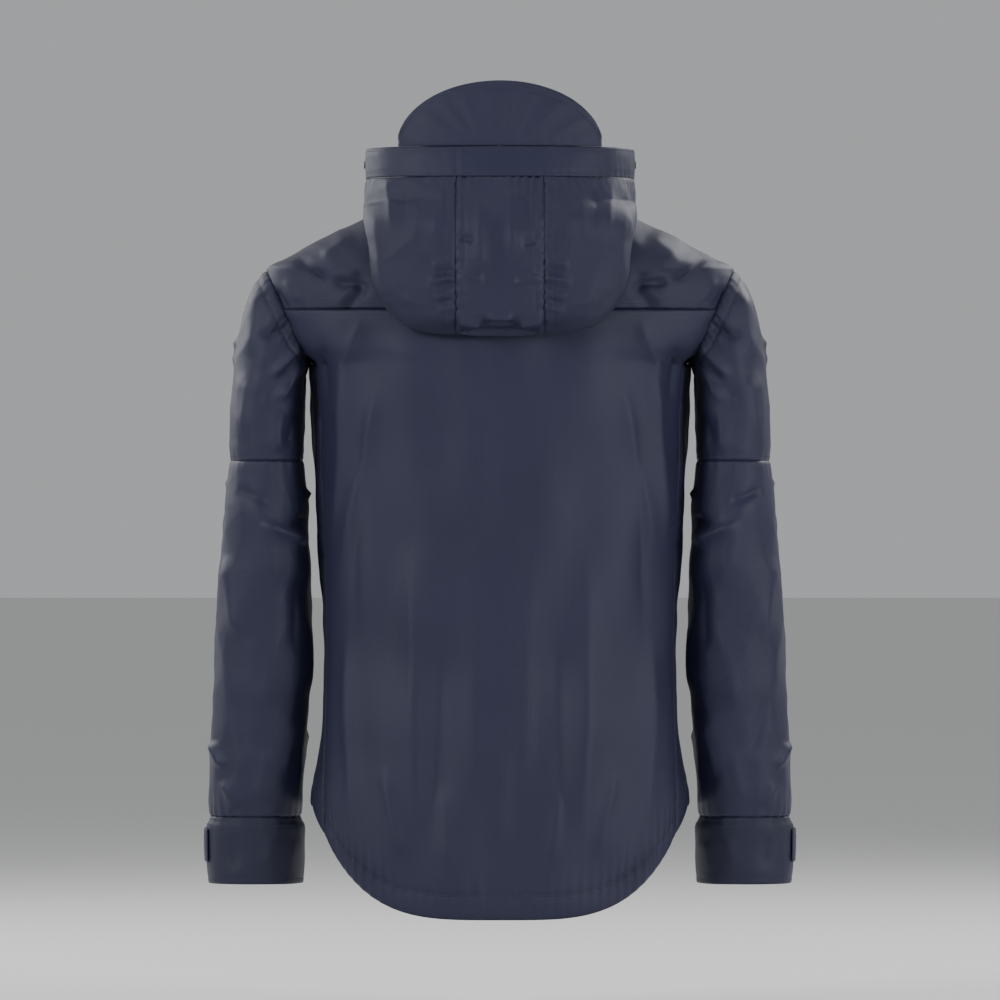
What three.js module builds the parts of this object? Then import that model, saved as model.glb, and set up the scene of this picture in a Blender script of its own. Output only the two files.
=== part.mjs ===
// Foul weather jacket with a hood that hangs behind the neck, as worn over a hollow body.
// Millimetres, +Z up. The wearer faces -Y and the wearer's left is +X.
// Every height below is measured up from the lowest point of the back hem; the finished
// group is then lowered so that its origin is the bearing point of the hanger loop.
import * as THREE from "three";

// Body
const napeHeight = 785; // back neck seam
const neckSideRise = 7; // neck seam at the shoulder, above the nape
const neckFrontDrop = 20; // neck seam at the zip, below the nape
const neckHalfWidth = 95;
const neckBackDepth = 72;
const shoulderDrop = 76; // nape down to the tip of the shoulder
const yokeDrop = 120; // nape down to the yoke seam
const armholeDepth = 103; // tip of the shoulder down to the armpit
const chestHalfWidth = 211;
const shoulderHalfWidth = chestHalfWidth + 46;
const sleeveHeadHalfWidth = shoulderHalfWidth + 5;
const ribHalfWidth = chestHalfWidth - 11;
const waistHalfWidth = chestHalfWidth - 17;
const hemHalfWidth = chestHalfWidth - 2;
const hemRise = 120; // side and front hem above the tail
const backDepth = 128;
const hemBackDepth = backDepth + 10;
const frontDepthAtHem = 138;
const frontDepthAtCollar = 96;
const collarHeight = 54;
const collarFrontHeight = 83;
const sectionPower = 2.4; // 2 is an ellipse, more is boxier

// Cloth
const shellThickness = 1.6;
const liningThickness = 1.2;
const seamGap = shellThickness * 0.375; // between two sewn panels
const layerGap = 0.8; // between two layers
const liningInset = 9; // from the outside of the shell in to the lining
const wadding = 9; // room under the hood's nape panel

// Fronts and zip
const frontSeamAtHem = 150; // from the zip out to the seam beside the front panel
const frontSeamAtYoke = 92;
const frontSeamAtNeck = 72;
const zipFabricEdge = 7; // front panel's edge, from the centre line
const toothWidth = 1.8;
const toothDepth = 3;
const toothGap = 0.3;
const tapeWidth = 12;
const tapeThickness = 0.8;
const sliderLength = 14;
const sliderHalfWidth = 4.6;
const boxLength = 12;
const pullLength = 34;

// Pockets
const pocketInnerX = 20;
const pocketWidth = 88;
const pocketHeight = 130;
const pocketRise = 66; // pocket's bottom above the front hem
const pocketFullness = 14;
const flapHeight = 52;

// Hood, hanging down
const hoodDrop = 149; // nape down to the bottom of the hood
const hoodHalfWidth = 148;
const hoodPanelHalfWidth = 48;
const hoodFullness = backDepth + 48; // from the middle of the body back to the hood
const hoodFrontY = 8;
const hoodPower = 3;
const hoodClearance = 13;
const bandRise = 23.5; // band's seam above the nape
const bandHeight = 33;
const peakHalfWidth = 113;
const peakHeight = 71.5;
const peakLean = 0.12;

// Sleeves
const sleeveLength = 675; // tip of the shoulder down to the cuff's edge
const cuffSeamDrop = sleeveLength - 74; // tip of the shoulder down to the cuff seam
const upperSleeveLength = cuffSeamDrop * 0.3478; // tip of the shoulder down to the elbow seam
const sleeveCentreX = shoulderHalfWidth;
const sleeveSplay = 13; // cuff's centre further out than the elbow's
const sleeveHalfWidth = 50;
const elbowHalfWidth = 40;
const elbowHalfDepth = 70;
const wristHalfDepth = 58;
const sleeveSwing = 28; // cuff's centre further forward than the elbow's
const cuffHalfWidth = 53;
const tabHeight = 36;

const yokeHeight = napeHeight - yokeDrop;
const tipHeight = napeHeight - shoulderDrop;
const armpitHeight = tipHeight - armholeDepth;
const waistHeight = hemRise + 0.36 * (armpitHeight - hemRise);
const ribHeight = hemRise + 0.72 * (armpitHeight - hemRise);
const tipShare = 0.3; // of the way from the yoke seam to the neck
const halfTurn = Math.PI / 2;
const mix = (a, b, t) => a + (b - a) * t;

/** Smooth value through [position, value] pairs: cubic pieces that never overshoot. */
function profile(...pairs) {
  const rate = pairs.slice(1).map(([x, y], i) => (y - pairs[i][1]) / (x - pairs[i][0]));
  const slope = pairs.map((_, i) => {
    if (i === 0) return rate[0];
    if (i === rate.length) return rate[i - 1];
    return rate[i - 1] * rate[i] <= 0 ? 0 : (2 * rate[i - 1] * rate[i]) / (rate[i - 1] + rate[i]);
  });
  return (at) => {
    const last = pairs.length - 2;
    const next = pairs.findIndex(([x]) => x > at);
    const i = next < 0 ? last : Math.min(Math.max(next - 1, 0), last);
    const span = pairs[i + 1][0] - pairs[i][0];
    const t = Math.min(Math.max((at - pairs[i][0]) / span, 0), 1);
    const rise = pairs[i][1] * (1 + 2 * t) * (1 - t) ** 2 + pairs[i + 1][1] * t * t * (3 - 2 * t);
    return rise + span * (slope[i] * t * (1 - t) ** 2 - slope[i + 1] * t * t * (1 - t));
  };
}

const roundness = (c, power) => Math.sign(c) * Math.abs(c) ** (2 / power);
const turnFor = (share, power) => Math.acos(Math.min(Math.max(share, 0), 1) ** (power / 2));

const halfWidthAt = profile(
  [0, hemHalfWidth + 4],
  [hemRise, hemHalfWidth],
  [hemRise * 1.6, waistHalfWidth + 3],
  [waistHeight, waistHalfWidth],
  [ribHeight, ribHalfWidth],
  [armpitHeight, chestHalfWidth],
  [mix(armpitHeight, yokeHeight, 0.35), mix(chestHalfWidth, sleeveHeadHalfWidth, 0.55)],
  [yokeHeight, sleeveHeadHalfWidth],
);
const backDepthAt = profile(
  [0, hemBackDepth + 2],
  [hemRise, hemBackDepth],
  [waistHeight, backDepth - 3],
  [armpitHeight, backDepth + 2],
  [yokeHeight, backDepth],
);
const collarTop = napeHeight + collarFrontHeight;
const frontDepthAt = (height) =>
  mix(frontDepthAtHem, frontDepthAtCollar, (height - hemRise) / (collarTop - hemRise));
const neckFrontHeight = napeHeight - neckFrontDrop;

const neckSideHeight = napeHeight + neckSideRise;
const tipOut = (shoulderHalfWidth - neckHalfWidth) / (sleeveHeadHalfWidth - neckHalfWidth);
const tipUp = (tipHeight - yokeHeight) / (neckSideHeight - yokeHeight);
const pastTip = tipShare + 0.12;
const sideOut = profile([0, 1], [0.16, 1], [tipShare, tipOut], [pastTip, tipOut * 0.88], [1, 0]);
const sideUp = profile(
  [0, 0],
  [0.16, tipUp * 0.55],
  [tipShare, tipUp],
  [pastTip, mix(tipUp, 1, 0.14)],
  [1, 1],
);
const backOut = profile([0, 1], [0.3, 0.94], [0.6, 0.7], [0.85, 0.32], [1, 0]);
const backUp = profile([0, 0], [0.3, 0.36], [0.6, 0.68], [0.85, 0.9], [1, 1]);

/** Height of the neck seam at a turn round the neck: raised at the sides, low at the zip. */
function neckHeightAt(turn) {
  const side = Math.cos(turn) ** 2;
  const middle = Math.sin(turn) > 0 ? napeHeight : neckFrontHeight;
  return mix(middle, neckSideHeight, side);
}

/** Outside of the body: turn 0 is +X, a quarter turn is the back; rise runs from hem to neck. */
function body(turn, rise) {
  const c = roundness(Math.cos(turn), sectionPower);
  const s = roundness(Math.sin(turn), sectionPower);
  const isBack = s > 0;
  const level = Math.min(rise, yokeHeight);
  const depth = isBack ? backDepthAt(level) : frontDepthAt(level);
  if (rise <= yokeHeight) return new THREE.Vector3(halfWidthAt(rise) * c, depth * s, rise);
  const share = Math.min((rise - yokeHeight) / yokeDrop, 1);
  const side = Math.cos(turn) ** 2;
  const out = mix(isBack ? backOut(share) : 1 - share, sideOut(share), side);
  const up = mix(isBack ? backUp(share) : share, sideUp(share), side);
  const neckDepth = isBack ? neckBackDepth : frontDepthAt(neckFrontHeight);
  return new THREE.Vector3(
    c * mix(neckHalfWidth, halfWidthAt(yokeHeight), out),
    s * mix(neckDepth, depth, out),
    mix(yokeHeight, neckHeightAt(turn), up),
  );
}

/** The value between low and high at which test turns from true to false. */
function lastTrue(low, high, test) {
  let [inside, outside] = [low, high];
  for (let i = 0; i < 30; i += 1) {
    const middle = (inside + outside) / 2;
    if (test(middle)) inside = middle;
    else outside = middle;
  }
  return inside;
}

const armholeX = (height) =>
  mix(chestHalfWidth, shoulderHalfWidth, (height - armpitHeight) / armholeDepth);

/** Turn at which the armhole's edge crosses a level; side is 1 on the back and -1 in front. */
function armholeTurn(rise, side) {
  if (rise <= armpitHeight) return 0;
  return lastTrue(0, halfTurn * 0.95, (turn) => {
    const point = body(side * turn, rise);
    return point.x > armholeX(point.z);
  });
}

/** Depth of the back at a place seen from behind, or null above the shoulder. */
function backSurfaceY(x, height) {
  const turnAt = (rise) => lastTrue(0, halfTurn, (turn) => body(turn, rise).x > x);
  if (height <= yokeHeight) return body(turnAt(height), height).y;
  const covers = (rise) => {
    const point = body(turnAt(rise), rise);
    return point.z < height && body(0, rise).x > x;
  };
  const rise = lastTrue(yokeHeight, napeHeight, covers);
  const point = body(turnAt(rise), rise);
  return height - point.z > 1 ? null : point.y;
}

/** Direction that a surface faces at a place, where u runs round and v runs up. */
function facing(surface, u, v) {
  const step = 1e-3;
  const [u0, u1] = [Math.max(u - step, 0), Math.min(u + step, 1)];
  const [v0, v1] = [Math.max(v - step, 0), Math.min(v + step, 1)];
  const along = surface(u1, v).sub(surface(u0, v));
  const up = surface(u, v1).sub(surface(u, v0));
  return along.cross(up).normalize();
}

/** The same surface moved out by a distance, or in where it is negative. */
function offset(surface, distance) {
  const distanceAt = typeof distance === "function" ? distance : () => distance;
  return (u, v) => surface(u, v).addScaledVector(facing(surface, u, v), distanceAt(u, v));
}

/** Closed cloth wall whose outer face is the surface; a ring closes on itself round u. */
function cloth(surface, columns, rows, thickness, isRing = false) {
  const across = isRing ? columns : columns + 1;
  const points = [];
  for (const depth of [0, thickness]) {
    for (let row = 0; row <= rows; row += 1) {
      for (let column = 0; column < across; column += 1) {
        const [u, v] = [column / columns, row / rows];
        points.push(surface(u, v).addScaledVector(facing(surface, u, v), -depth));
      }
    }
  }
  const layer = across * (rows + 1);
  const at = (column, row) => (column % across) + row * across;
  const faces = [];
  const quad = (a, b, c, d) => faces.push(a, b, c, a, c, d);
  for (let row = 0; row < rows; row += 1) {
    for (let column = 0; column < columns; column += 1) {
      const [a, b] = [at(column, row), at(column + 1, row)];
      const [c, d] = [at(column + 1, row + 1), at(column, row + 1)];
      quad(a, b, c, d);
      quad(a + layer, d + layer, c + layer, b + layer);
    }
  }
  const wall = (a, b) => quad(b, a, a + layer, b + layer);
  for (let column = 0; column < columns; column += 1) {
    wall(at(column, 0), at(column + 1, 0));
    wall(at(column + 1, rows), at(column, rows));
  }
  for (let row = 0; row < rows && !isRing; row += 1) {
    wall(at(0, row + 1), at(0, row));
    wall(at(columns, row), at(columns, row + 1));
  }
  const geometry = new THREE.BufferGeometry();
  const places = points.flatMap((point) => point.toArray());
  geometry.setAttribute("position", new THREE.Float32BufferAttribute(places, 3));
  geometry.setIndex(faces);
  geometry.computeVertexNormals();
  return geometry;
}

/** The other side's piece: the same shape with X turned round. */
function mirrored(geometry) {
  const copy = geometry.clone();
  if (!copy.index) copy.setIndex([...Array(copy.attributes.position.count).keys()]);
  copy.scale(-1, 1, 1);
  const index = copy.index.array;
  for (let i = 0; i < index.length; i += 3) [index[i], index[i + 2]] = [index[i + 2], index[i]];
  copy.computeVertexNormals();
  return copy;
}

/** Part of a surface between two turns and two rises, each of which may follow the other. */
function region(surface, fromTurn, toTurn, fromRise, toRise) {
  return (u, v) => {
    const middle = (fromRise(halfTurn) + toRise(halfTurn)) / 2;
    const nearTurn = mix(fromTurn(middle), toTurn(middle), u);
    const rise = mix(fromRise(nearTurn), toRise(nearTurn), v);
    return surface(mix(fromTurn(rise), toTurn(rise), u), rise);
  };
}

const gapTurn = seamGap / 2 / backDepth;
const constant = (value) => () => value;
const rowsOver = (length, pitch) => Math.max(1, Math.round(length / pitch));

/** Lower edge all round: level in front, a curved tail behind. */
function hemAt(turn) {
  if (Math.sin(turn) <= 0) return hemRise;
  const edge = Math.min(Math.abs(Math.cos(turn)), 1) ** 3.3;
  return hemRise * (1 - Math.sqrt(1 - edge));
}

const ringHalfWidth = (rise) => body(0, rise).x;
const sideSeamInset = profile(
  [0, 22],
  [hemRise, 16],
  [hemRise * 1.6, 5],
  [waistHeight, 3],
  [armpitHeight, 8],
);
function sideSeamTurn(rise) {
  const level = Math.min(rise, armpitHeight);
  return turnFor(1 - sideSeamInset(level) / ringHalfWidth(level), sectionPower);
}
const backEdgeTurn = (rise) => Math.max(sideSeamTurn(rise), armholeTurn(rise, 1)) + gapTurn;
const sidePanelFront = 0.42;
const frontSeamX = profile(
  [hemRise, frontSeamAtHem],
  [yokeHeight, frontSeamAtYoke],
  [napeHeight, frontSeamAtNeck],
);
const frontSeamTurn = (rise) => turnFor(frontSeamX(rise) / ringHalfWidth(rise), sectionPower);
const turnAtX = (rise, x) => turnFor(x / ringHalfWidth(rise), sectionPower);
const neckTurn = frontSeamTurn(napeHeight);

// Panels of the body

const backPanelSurface = region(
  body,
  backEdgeTurn,
  (rise) => Math.PI - backEdgeTurn(rise),
  hemAt,
  constant(yokeHeight - seamGap),
);
const yokeEdge = (rise) => Math.max(armholeTurn(rise, 1), gapTurn) + gapTurn;
const yokeSurface = region(
  body,
  yokeEdge,
  (rise) => Math.PI - yokeEdge(rise),
  constant(yokeHeight),
  constant(napeHeight - seamGap),
);
const sidePanelSurface = region(
  body,
  constant(-sidePanelFront),
  (rise) => sideSeamTurn(rise) - gapTurn,
  hemAt,
  constant(armpitHeight - seamGap),
);
const frontEdgeTurn = (rise) =>
  rise < armpitHeight
    ? sidePanelFront + gapTurn * 4
    : Math.max(armholeTurn(rise, -1), gapTurn) + gapTurn;
const frontSideSurface = region(
  body,
  (rise) => -(frontSeamTurn(rise) - gapTurn),
  (rise) => -frontEdgeTurn(rise),
  constant(hemRise),
  constant(napeHeight - seamGap),
);
const frontSurface = region(
  body,
  (rise) => -turnAtX(rise, zipFabricEdge),
  (rise) => -(frontSeamTurn(rise) + gapTurn * 2),
  constant(hemRise),
  constant(napeHeight - seamGap),
);

/** Stand-up collar: the neck seam carried up, leaning in a little. */
function collar(turn, share) {
  const base = body(turn, napeHeight);
  const front = Math.max(-Math.sin(turn), 0) ** 2;
  const height = base.z + share * mix(collarHeight, collarFrontHeight + neckFrontDrop, front);
  const lean = 1 - 0.04 * share;
  const frontLean = frontDepthAt(height) / frontDepthAt(neckFrontHeight);
  const depth = base.y * (Math.sin(turn) > 0 ? lean : frontLean);
  return new THREE.Vector3(base.x * lean, depth, height);
}

const collarBackSurface = (u, v) => collar(mix(-neckTurn, Math.PI + neckTurn, u), v);
const collarFrontSurface = (u, v) =>
  collar(-mix(turnAtX(napeHeight, zipFabricEdge), neckTurn + gapTurn * 3, u), v);

// Linings and hem

const facingHeight = 34;
const elasticRise = 14;
const elasticHeight = 8;
const elasticInset = shellThickness + layerGap * 3;
const hemEdgeAt = (rise) => sideSeamTurn(rise) + gapTurn;
const nearEdge = hemEdgeAt((yokeHeight - seamGap) / 2); // where the back panel's corner is cut
const cornerTurn = hemEdgeAt(hemAt(nearEdge)); // where that corner ends up

/** Height of the hem above the tail at a turn: the back panel's curve, then straight up the side. */
function panelHemAt(turn) {
  const fromSide = Math.min(turn, Math.PI - turn);
  if (fromSide < cornerTurn) return mix(hemRise, hemAt(nearEdge), fromSide / cornerTurn);
  return hemAt(mix(nearEdge, halfTurn, (fromSide - cornerTurn) / (halfTurn - cornerTurn)));
}

/** Strip inside the back panel's hem, between two heights above it. */
function hemBand(low, high, depth) {
  const strip = (u, v) => {
    const rise = hemAt(mix(nearEdge, Math.PI - nearEdge, u)) + mix(low, high, v);
    return body(mix(hemEdgeAt(rise), Math.PI - hemEdgeAt(rise), u), rise);
  };
  return offset(strip, -depth);
}

const liningSurface = offset(
  region(
    body,
    yokeEdge,
    (rise) => Math.PI - yokeEdge(rise),
    (turn) => panelHemAt(turn) + facingHeight + layerGap * 4,
    constant(napeHeight - seamGap * 3),
  ),
  -liningInset,
);

// Zip, on the straight line from the front hem to the top of the collar

const zipLow = new THREE.Vector3(0, -frontDepthAtHem, hemRise);
const zipHigh = new THREE.Vector3(0, -frontDepthAtCollar, collarTop);
const zipLength = zipLow.distanceTo(zipHigh);
const zipTilt = Math.atan2(frontDepthAtHem - frontDepthAtCollar, collarTop - hemRise);
const teethInset = 0.6;

/** Block on the zip line: x and depth (outwards) are from the line, along is from its lower end. */
function zipBlock([x0, x1], [in0, out1], [along0, along1]) {
  const geometry = new THREE.BoxGeometry(x1 - x0, out1 - in0, along1 - along0);
  geometry.translate((x0 + x1) / 2, -(in0 + out1) / 2, (along0 + along1) / 2);
  return onZip(geometry);
}

function onZip(geometry) {
  geometry.rotateX(-zipTilt);
  geometry.translate(zipLow.x, zipLow.y, zipLow.z);
  return geometry;
}

const sliderStart = boxLength + 4;
const sliderEnd = sliderStart + sliderLength;
const toothOuter = toothGap + toothWidth;
const tapeInset = shellThickness + 1;

/** Comb of teeth down one side of the zip, as one profile pushed through its depth. */
function teeth(start, end) {
  const pitch = 24;
  const count = Math.floor((end - start) / pitch);
  const length = count * pitch;
  const shape = new THREE.Shape();
  shape.moveTo(toothOuter, start);
  shape.lineTo(toothOuter, start + length);
  for (let i = count; i > 0; i -= 1) {
    const top = start + i * pitch;
    shape.lineTo(toothGap + 0.7, top);
    shape.lineTo(toothGap + 0.7, top - pitch * 0.3);
    shape.lineTo(toothGap, top - pitch * 0.4);
    shape.lineTo(toothGap, top - pitch * 0.9);
  }
  shape.lineTo(toothGap + 0.7, start);
  const geometry = new THREE.ExtrudeGeometry(shape, { depth: toothDepth, bevelEnabled: false });
  geometry.rotateX(halfTurn);
  geometry.translate(0, teethInset + toothDepth, 0);
  return onZip(geometry);
}

/** Slider: an outer plate with two flanges that straddle the teeth, and a lug for its pull. */
function slider() {
  const flangeX = toothOuter + 0.6;
  const shape = new THREE.Shape();
  const flangeDepth = tapeInset - 0.5;
  const plateOut = 1.8;
  const lug = 1.2;
  const lugOut = 5;
  const outline = [
    [-sliderHalfWidth, -flangeDepth],
    [-flangeX, -flangeDepth],
    [-flangeX, 0.2],
    [flangeX, 0.2],
    [flangeX, -flangeDepth],
    [sliderHalfWidth, -flangeDepth],
    [sliderHalfWidth, plateOut],
    [lug, plateOut],
    [lug, lugOut],
    [-lug, lugOut],
    [-lug, plateOut],
    [-sliderHalfWidth, plateOut],
  ];
  shape.setFromPoints(outline.map(([x, out]) => new THREE.Vector2(x, -out)));
  const geometry = new THREE.ExtrudeGeometry(shape, { depth: sliderLength, bevelEnabled: false });
  geometry.translate(0, 0, sliderStart);
  return onZip(geometry);
}

const pullPivotOut = 3.6;
const pullPivotAlong = sliderEnd - 3;

/** Pull: two arms beside the lug that join in a tapering tab. */
function zipPull() {
  const [armIn, armOut, join] = [1.7, 3.1, 15.5];
  const shape = new THREE.Shape();
  const outline = [
    [-armIn, 1.2],
    [-armOut, 1.2],
    [-armOut, -join],
    [-armOut * 1.35, -join - 4],
    [-armOut, -pullLength],
    [armOut, -pullLength],
    [armOut * 1.35, -join - 4],
    [armOut, -join],
    [armOut, 1.2],
    [armIn, 1.2],
    [armIn, -join + 2],
    [-armIn, -join + 2],
  ];
  shape.setFromPoints(outline.map(([x, z]) => new THREE.Vector2(x, z + pullPivotAlong)));
  const geometry = new THREE.ExtrudeGeometry(shape, { depth: 1.5, bevelEnabled: false });
  geometry.rotateX(halfTurn);
  geometry.translate(0, -pullPivotOut + 0.75, 0);
  return onZip(geometry);
}

// Pockets

const pocketLow = hemRise + pocketRise;
const pocketHigh = pocketLow + pocketHeight;
const frontAtX = (x, height) => body(-turnAtX(height, x), height);
const pocketFace = (u, v) => frontAtX(pocketInnerX + u * pocketWidth, mix(pocketLow, pocketHigh, v));

/** How far a pocket's cloth stands off: nothing at its three sewn edges, full at its mouth. */
function pocketStand(u, v) {
  const sides = Math.min(1, 6 * Math.min(u, 1 - u));
  const bottom = Math.min(1, 6 * v);
  return liningThickness + layerGap + pocketFullness * Math.sqrt(sides * bottom);
}

const flapFull = pocketFullness + liningThickness + layerGap * 6;
const flapBend = 2 / 3; // share of the flap's height at which it turns in to the front
const flapLow = pocketHigh - flapHeight * 0.62;
const flapHigh = flapLow + flapHeight;
const flapOverhang = 5;
const flapFace = (u, v) =>
  frontAtX(
    pocketInnerX - flapOverhang + u * (pocketWidth + 2 * flapOverhang),
    mix(flapLow, flapHigh, v),
  );

/** How far a flap stands off: clear of the pocket below, close to the front along its hinge. */
const flapStand = (_, v) =>
  mix(flapFull, shellThickness + layerGap, Math.max(v - flapBend, 0) / (1 - flapBend));
const patchBase = (u, v) =>
  frontAtX(pocketInnerX + mix(0.3, 0.7, u) * pocketWidth, mix(flapLow + 4, flapLow + 18, v));
const patchFace = offset(patchBase, pocketFullness + liningThickness + layerGap * 3);

// Hood

const hoodBottom = napeHeight - hoodDrop;
const bandSeam = napeHeight + bandRise;
const bandTop = bandSeam + bandHeight;
const hoodOutline = profile(
  [hoodBottom, hoodHalfWidth * 0.34],
  [hoodBottom + 4, hoodHalfWidth * 0.55],
  [hoodBottom + 13, hoodHalfWidth * 0.72],
  [hoodBottom + 56, hoodHalfWidth * 0.925],
  [hoodBottom + 95, hoodHalfWidth * 0.953],
  [napeHeight - 16, hoodHalfWidth],
  [bandTop, hoodHalfWidth],
);
const hoodBack = profile(
  [hoodBottom, backDepth + 12],
  [hoodBottom + 6, mix(backDepth, hoodFullness, 0.5)],
  [hoodBottom + 24, mix(backDepth, hoodFullness, 0.88)],
  [hoodBottom + 60, hoodFullness],
  [napeHeight - 40, hoodFullness - 4],
  [bandSeam, hoodFullness - 36],
  [bandTop, hoodFullness - 46],
);

/** Where the hood's side meets the back and shoulder, or its free front edge above them. */
function hoodEdge(height) {
  const surface = backSurfaceY(hoodOutline(height), height - hoodClearance);
  return surface === null ? hoodFrontY : Math.max(hoodFrontY, surface + hoodClearance);
}
const edgeSteps = [...Array(29).keys()].map((step) => mix(hoodBottom, bandTop, step / 28));
const hoodEdgeY = profile(...edgeSteps.map((height) => [height, hoodEdge(height)]));

/** Outside of the hood: turn 0 is the left edge, a quarter turn is the middle of the back. */
function hood(turn, height) {
  const edge = hoodEdgeY(height);
  const c = roundness(Math.cos(turn), hoodPower);
  const s = roundness(Math.max(Math.sin(turn), 0), hoodPower);
  const depth = mix(edge, Math.max(hoodBack(height), edge + 4), s);
  return new THREE.Vector3(hoodOutline(height) * c, depth, height);
}

const hoodSeamTurn = (height) =>
  turnFor(Math.min(hoodPanelHalfWidth / hoodOutline(height), 0.8), hoodPower);
const hoodGap = seamGap / 2 / hoodHalfWidth;
const hoodMiddleSurface = region(
  hood,
  (height) => hoodSeamTurn(height) + hoodGap,
  (height) => Math.PI - hoodSeamTurn(height) - hoodGap,
  constant(hoodBottom),
  constant(bandSeam - seamGap),
);
const hoodSideSurface = region(
  hood,
  constant(0),
  (height) => hoodSeamTurn(height) - hoodGap,
  constant(hoodBottom),
  constant(bandSeam - seamGap),
);
const bandSurface = region(
  hood,
  constant(0),
  constant(Math.PI),
  constant(bandSeam),
  constant(bandTop),
);
const hoodLiningSurface = offset(
  region(
    hood,
    constant(0.2),
    constant(Math.PI - 0.2),
    constant(hoodBottom + 20),
    constant(bandSeam - 4),
  ),
  -liningInset,
);

/** Peak: a curved blade that carries the band up to an arched edge. */
const peak = (halfWidth, height, base) => (u, v) => {
  const x = mix(0.985, -0.985, u) * halfWidth;
  const arch = height * Math.sqrt(1 - (x / halfWidth) ** 2);
  const foot = hood(turnFor(Math.abs(x) / hoodHalfWidth, hoodPower), bandTop);
  return new THREE.Vector3(x, foot.y - peakLean * (base + v * arch), bandTop + base + v * arch);
};

/** Foot of the nape panel: as low and as wide as the hood that it closes. */
function napeFoot(turn) {
  const margin = 18;
  return lastTrue(napeHeight - 6, hoodBottom + margin, (rise) => {
    const point = body(turn, rise);
    return Math.abs(point.x) < hoodOutline(Math.max(point.z, hoodBottom)) - margin;
  });
}
const napeSurface = offset(
  region(body, constant(0.06), constant(Math.PI - 0.06), napeFoot, constant(napeHeight - seamGap)),
  liningThickness + wadding,
);

/** Small ring set in the band near each free edge of the hood. */
function eyelet() {
  const [inner, outer, thickness] = [2.2, 4.4, 1];
  const section = [
    new THREE.Vector2(inner, 0),
    new THREE.Vector2(outer, 0),
    new THREE.Vector2(outer, thickness),
    new THREE.Vector2(inner, thickness),
    new THREE.Vector2(inner, 0),
  ];
  const geometry = new THREE.LatheGeometry(section, 16);
  geometry.rotateZ(-halfTurn);
  geometry.translate(hoodHalfWidth + layerGap / 2, hoodFrontY + 14, bandSeam + bandHeight / 2);
  return geometry;
}

// Sleeves

const elbowHeight = tipHeight - upperSleeveLength;
const cuffSeam = tipHeight - cuffSeamDrop;
const cuffEdge = tipHeight - sleeveLength;
const sleeveX = profile(
  [cuffEdge, sleeveCentreX + sleeveSplay],
  [cuffSeam, sleeveCentreX + sleeveSplay],
  [mix(cuffSeam, elbowHeight, 0.45), sleeveCentreX + 4],
  [elbowHeight, sleeveCentreX],
);
const sleeveY = profile(
  [cuffEdge, 2 - sleeveSwing],
  [cuffSeam, 6 - sleeveSwing],
  [mix(cuffSeam, elbowHeight, 0.45), -8],
  [elbowHeight, 2],
);
const sleeveHalf = profile(
  [cuffEdge, cuffHalfWidth],
  [cuffSeam - 14, cuffHalfWidth + 1],
  [cuffSeam, sleeveHalfWidth],
  [mix(cuffSeam, elbowHeight, 0.45), sleeveHalfWidth + 0.5],
  [mix(cuffSeam, elbowHeight, 0.75), mix(sleeveHalfWidth, elbowHalfWidth, 0.4)],
  [elbowHeight, elbowHalfWidth],
);
const sleeveDepth = profile(
  [cuffEdge, wristHalfDepth],
  [cuffSeam, wristHalfDepth],
  [elbowHeight, elbowHalfDepth],
);

function sleeveRing(turn, height) {
  const c = roundness(Math.cos(turn), sectionPower);
  const s = roundness(Math.sin(turn), sectionPower);
  return new THREE.Vector3(
    sleeveX(height) + sleeveHalf(height) * c,
    sleeveY(height) + sleeveDepth(height) * s,
    height,
  );
}

const armholeSlope = new THREE.Vector2(shoulderHalfWidth - chestHalfWidth, armholeDepth).normalize();
const armholeOut = new THREE.Vector3(armholeSlope.y, 0, -armholeSlope.x);
const tipRise = mix(yokeHeight, napeHeight, tipShare);

/** Point on the armhole's edge for a turn round the sleeve: 0 is the tip, half a turn the armpit. */
function armholeEdge(turn) {
  const rise = mix(armpitHeight, tipRise, (1 + Math.cos(turn)) / 2);
  const side = Math.sin(turn) >= 0 ? 1 : -1;
  return body(side * armholeTurn(rise, side), rise).addScaledVector(armholeOut, seamGap * 1.6);
}

/** Upper sleeve: each line leaves the armhole square to it and comes down onto the elbow seam. */
function upperSleeve(turn, share) {
  const start = armholeEdge(turn);
  const end = sleeveRing(turn, elbowHeight + seamGap);
  const top = (1 + Math.cos(turn)) / 2;
  const lead = start.clone().addScaledVector(armholeOut, mix(12, 30, top));
  const follow = end.clone().add(new THREE.Vector3(-3 * top, 0, mix(70, 110, top)));
  return new THREE.CubicBezierCurve3(start, lead, follow, end).getPoint(share);
}

const upperSleeveSurface = (u, v) => upperSleeve(u * 2 * Math.PI, 1 - v);
const tube = (low, high) => (u, v) => sleeveRing(u * 2 * Math.PI, mix(low, high, v));
const tabFace = (u, v) =>
  sleeveRing(mix(-1.15, 0.42, u), mix(cuffSeam - 14 - tabHeight, cuffSeam - 14, v));
const loopPatchFace = (u, v) =>
  sleeveRing(mix(-1.0, -0.1, u), mix(cuffSeam - 9 - tabHeight, cuffSeam - 19, v));

// Hanger loop, sewn inside the back neck

const loopHalfWidth = 24;
const loopTop = napeHeight + 2;
const loopY = neckBackDepth - 14;
const loopBand = 1.6;

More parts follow.
